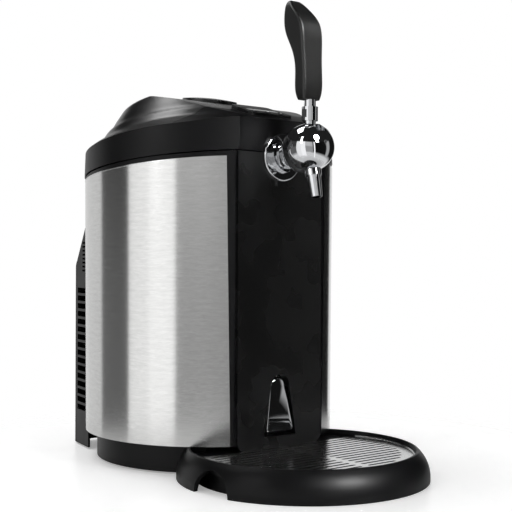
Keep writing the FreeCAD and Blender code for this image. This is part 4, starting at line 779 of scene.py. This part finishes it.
def build_floor():
    """A pale round floor that fades into the white far from the object."""
    clear_selection()
    bpy.ops.mesh.primitive_circle_add(vertices=96, radius=3.0, fill_type="NGON", location=(0, 0, 0))
    material, tree, output = new_material("studio_floor")
    point = object_point(tree)
    tone = mix_colour(tree, noise(tree, point, 40.0), shade(srgb("#f4f4f4")), shade(srgb("#fafafa")))
    paint = add_node(tree, "ShaderNodeBsdfPrincipled", {"Base Color": tone, "Roughness": 0.32,
                                                        "Specular IOR Level": 0.35})
    path = add_node(tree, "ShaderNodeLightPath")
    lift = calculate(tree, "MULTIPLY", path.outputs["Is Camera Ray"], FLOOR_LIFT)
    white = add_node(tree, "ShaderNodeEmission", {"Color": WHITE, "Strength": lift})
    paper = add_node(tree, "ShaderNodeAddShader", {0: paint.outputs["BSDF"], 1: white.outputs["Emission"]})
    clear = add_node(tree, "ShaderNodeBsdfTransparent")
    reach = add_node(tree, "ShaderNodeVectorMath", {0: point}, operation="LENGTH")
    fade = spread(tree, reach.outputs["Value"], 0.0, 1.0, *FLOOR_FADE, interpolation_type="SMOOTHSTEP")
    blend = add_node(tree, "ShaderNodeMixShader", {0: fade, 1: paper.outputs["Shader"],
                                                   2: clear.outputs["BSDF"]})
    tree.links.new(blend.outputs["Shader"], output.inputs["Surface"])
    floor = name_piece("studio_floor", material)


def add_softbox(name, place, aim, size, power):
    """A rectangular lamp that looks at a point."""
    light = bpy.data.lights.new(name, "AREA")
    light.shape = "RECTANGLE"
    light.size, light.size_y = size
    light.energy = power
    lamp = bpy.data.objects.new(name, light)
    bpy.context.scene.collection.objects.link(lamp)
    lamp.location = place
    lamp.rotation_euler = (Vector(aim) - Vector(place)).to_track_quat("-Z", "Y").to_euler()


def build_camera(studio):
    """The camera at the photograph's place, looking level at the cabinet."""
    forward = Vector((math.sin(studio.azimuth), math.cos(studio.azimuth), 0.0))
    right = Vector((math.cos(studio.azimuth), -math.sin(studio.azimuth), 0.0))
    place = Vector((0.0, CABINET_AXIS_Y, studio.camera_height))
    place += right * studio.side_step - forward * studio.camera_back
    camera = bpy.data.cameras.new("camera")
    camera.lens = studio.lens
    camera.sensor_width = 36.0
    camera.clip_start = 50 * MM
    item = bpy.data.objects.new("camera", camera)
    bpy.context.scene.collection.objects.link(item)
    item.location = place
    look = forward.to_track_quat("-Z", "Y").to_matrix()
    item.rotation_euler = (look @ Matrix.Rotation(studio.roll, 3, "Z")).to_euler()
    bpy.context.scene.camera = item


class DISPENSER_OT_studio(bpy.types.Operator):
    """Builds the pale floor, the soft lamps and the camera"""
    bl_idname = "dispenser.studio"
    bl_label = "Studio"

    def execute(self, context):
        context.scene.view_settings.view_transform = "Standard"
        build_world()
        build_floor()
        for lamp in LAMPS:
            add_softbox(*lamp)
        build_camera(context.scene.dispenser_studio)
        return {"FINISHED"}


class DISPENSER_PT_sidebar(bpy.types.Panel):
    """Lists the finishes and the studio in the 3D view's sidebar"""
    bl_idname = "DISPENSER_PT_sidebar"
    bl_label = "Mini Keg Dispenser"
    bl_space_type = "VIEW_3D"
    bl_region_type = "UI"
    bl_category = "Dispenser"

    def draw(self, context):
        for operator in OPERATORS:
            self.layout.operator(operator.bl_idname)
        for settings in (context.scene.dispenser_finishes, context.scene.dispenser_studio):
            for key in settings.bl_rna.properties.keys():
                if key not in ("rna_type", "name"):
                    self.layout.prop(settings, key)


OPERATORS = (DISPENSER_OT_housings, DISPENSER_OT_metals, DISPENSER_OT_soft_parts, DISPENSER_OT_key_marks,
             DISPENSER_OT_chute, DISPENSER_OT_panel_edges, DISPENSER_OT_screws, DISPENSER_OT_studio)
CLASSES = (DispenserFinishes, DispenserStudio) + OPERATORS + (DISPENSER_PT_sidebar,)


def register():
    for item in CLASSES:
        bpy.utils.register_class(item)
    bpy.types.Scene.dispenser_finishes = PointerProperty(type=DispenserFinishes)
    bpy.types.Scene.dispenser_studio = PointerProperty(type=DispenserStudio)


def unregister():
    del bpy.types.Scene.dispenser_studio
    del bpy.types.Scene.dispenser_finishes
    for item in reversed(CLASSES):
        bpy.utils.unregister_class(item)


def main():
    register()
    bpy.ops.dispenser.housings()
    bpy.ops.dispenser.metals()
    bpy.ops.dispenser.soft_parts()
    bpy.ops.dispenser.key_marks()
    bpy.ops.dispenser.chute()
    bpy.ops.dispenser.panel_edges()
    bpy.ops.dispenser.screws()
    bpy.ops.dispenser.studio()


if __name__ == "__main__":
    main()
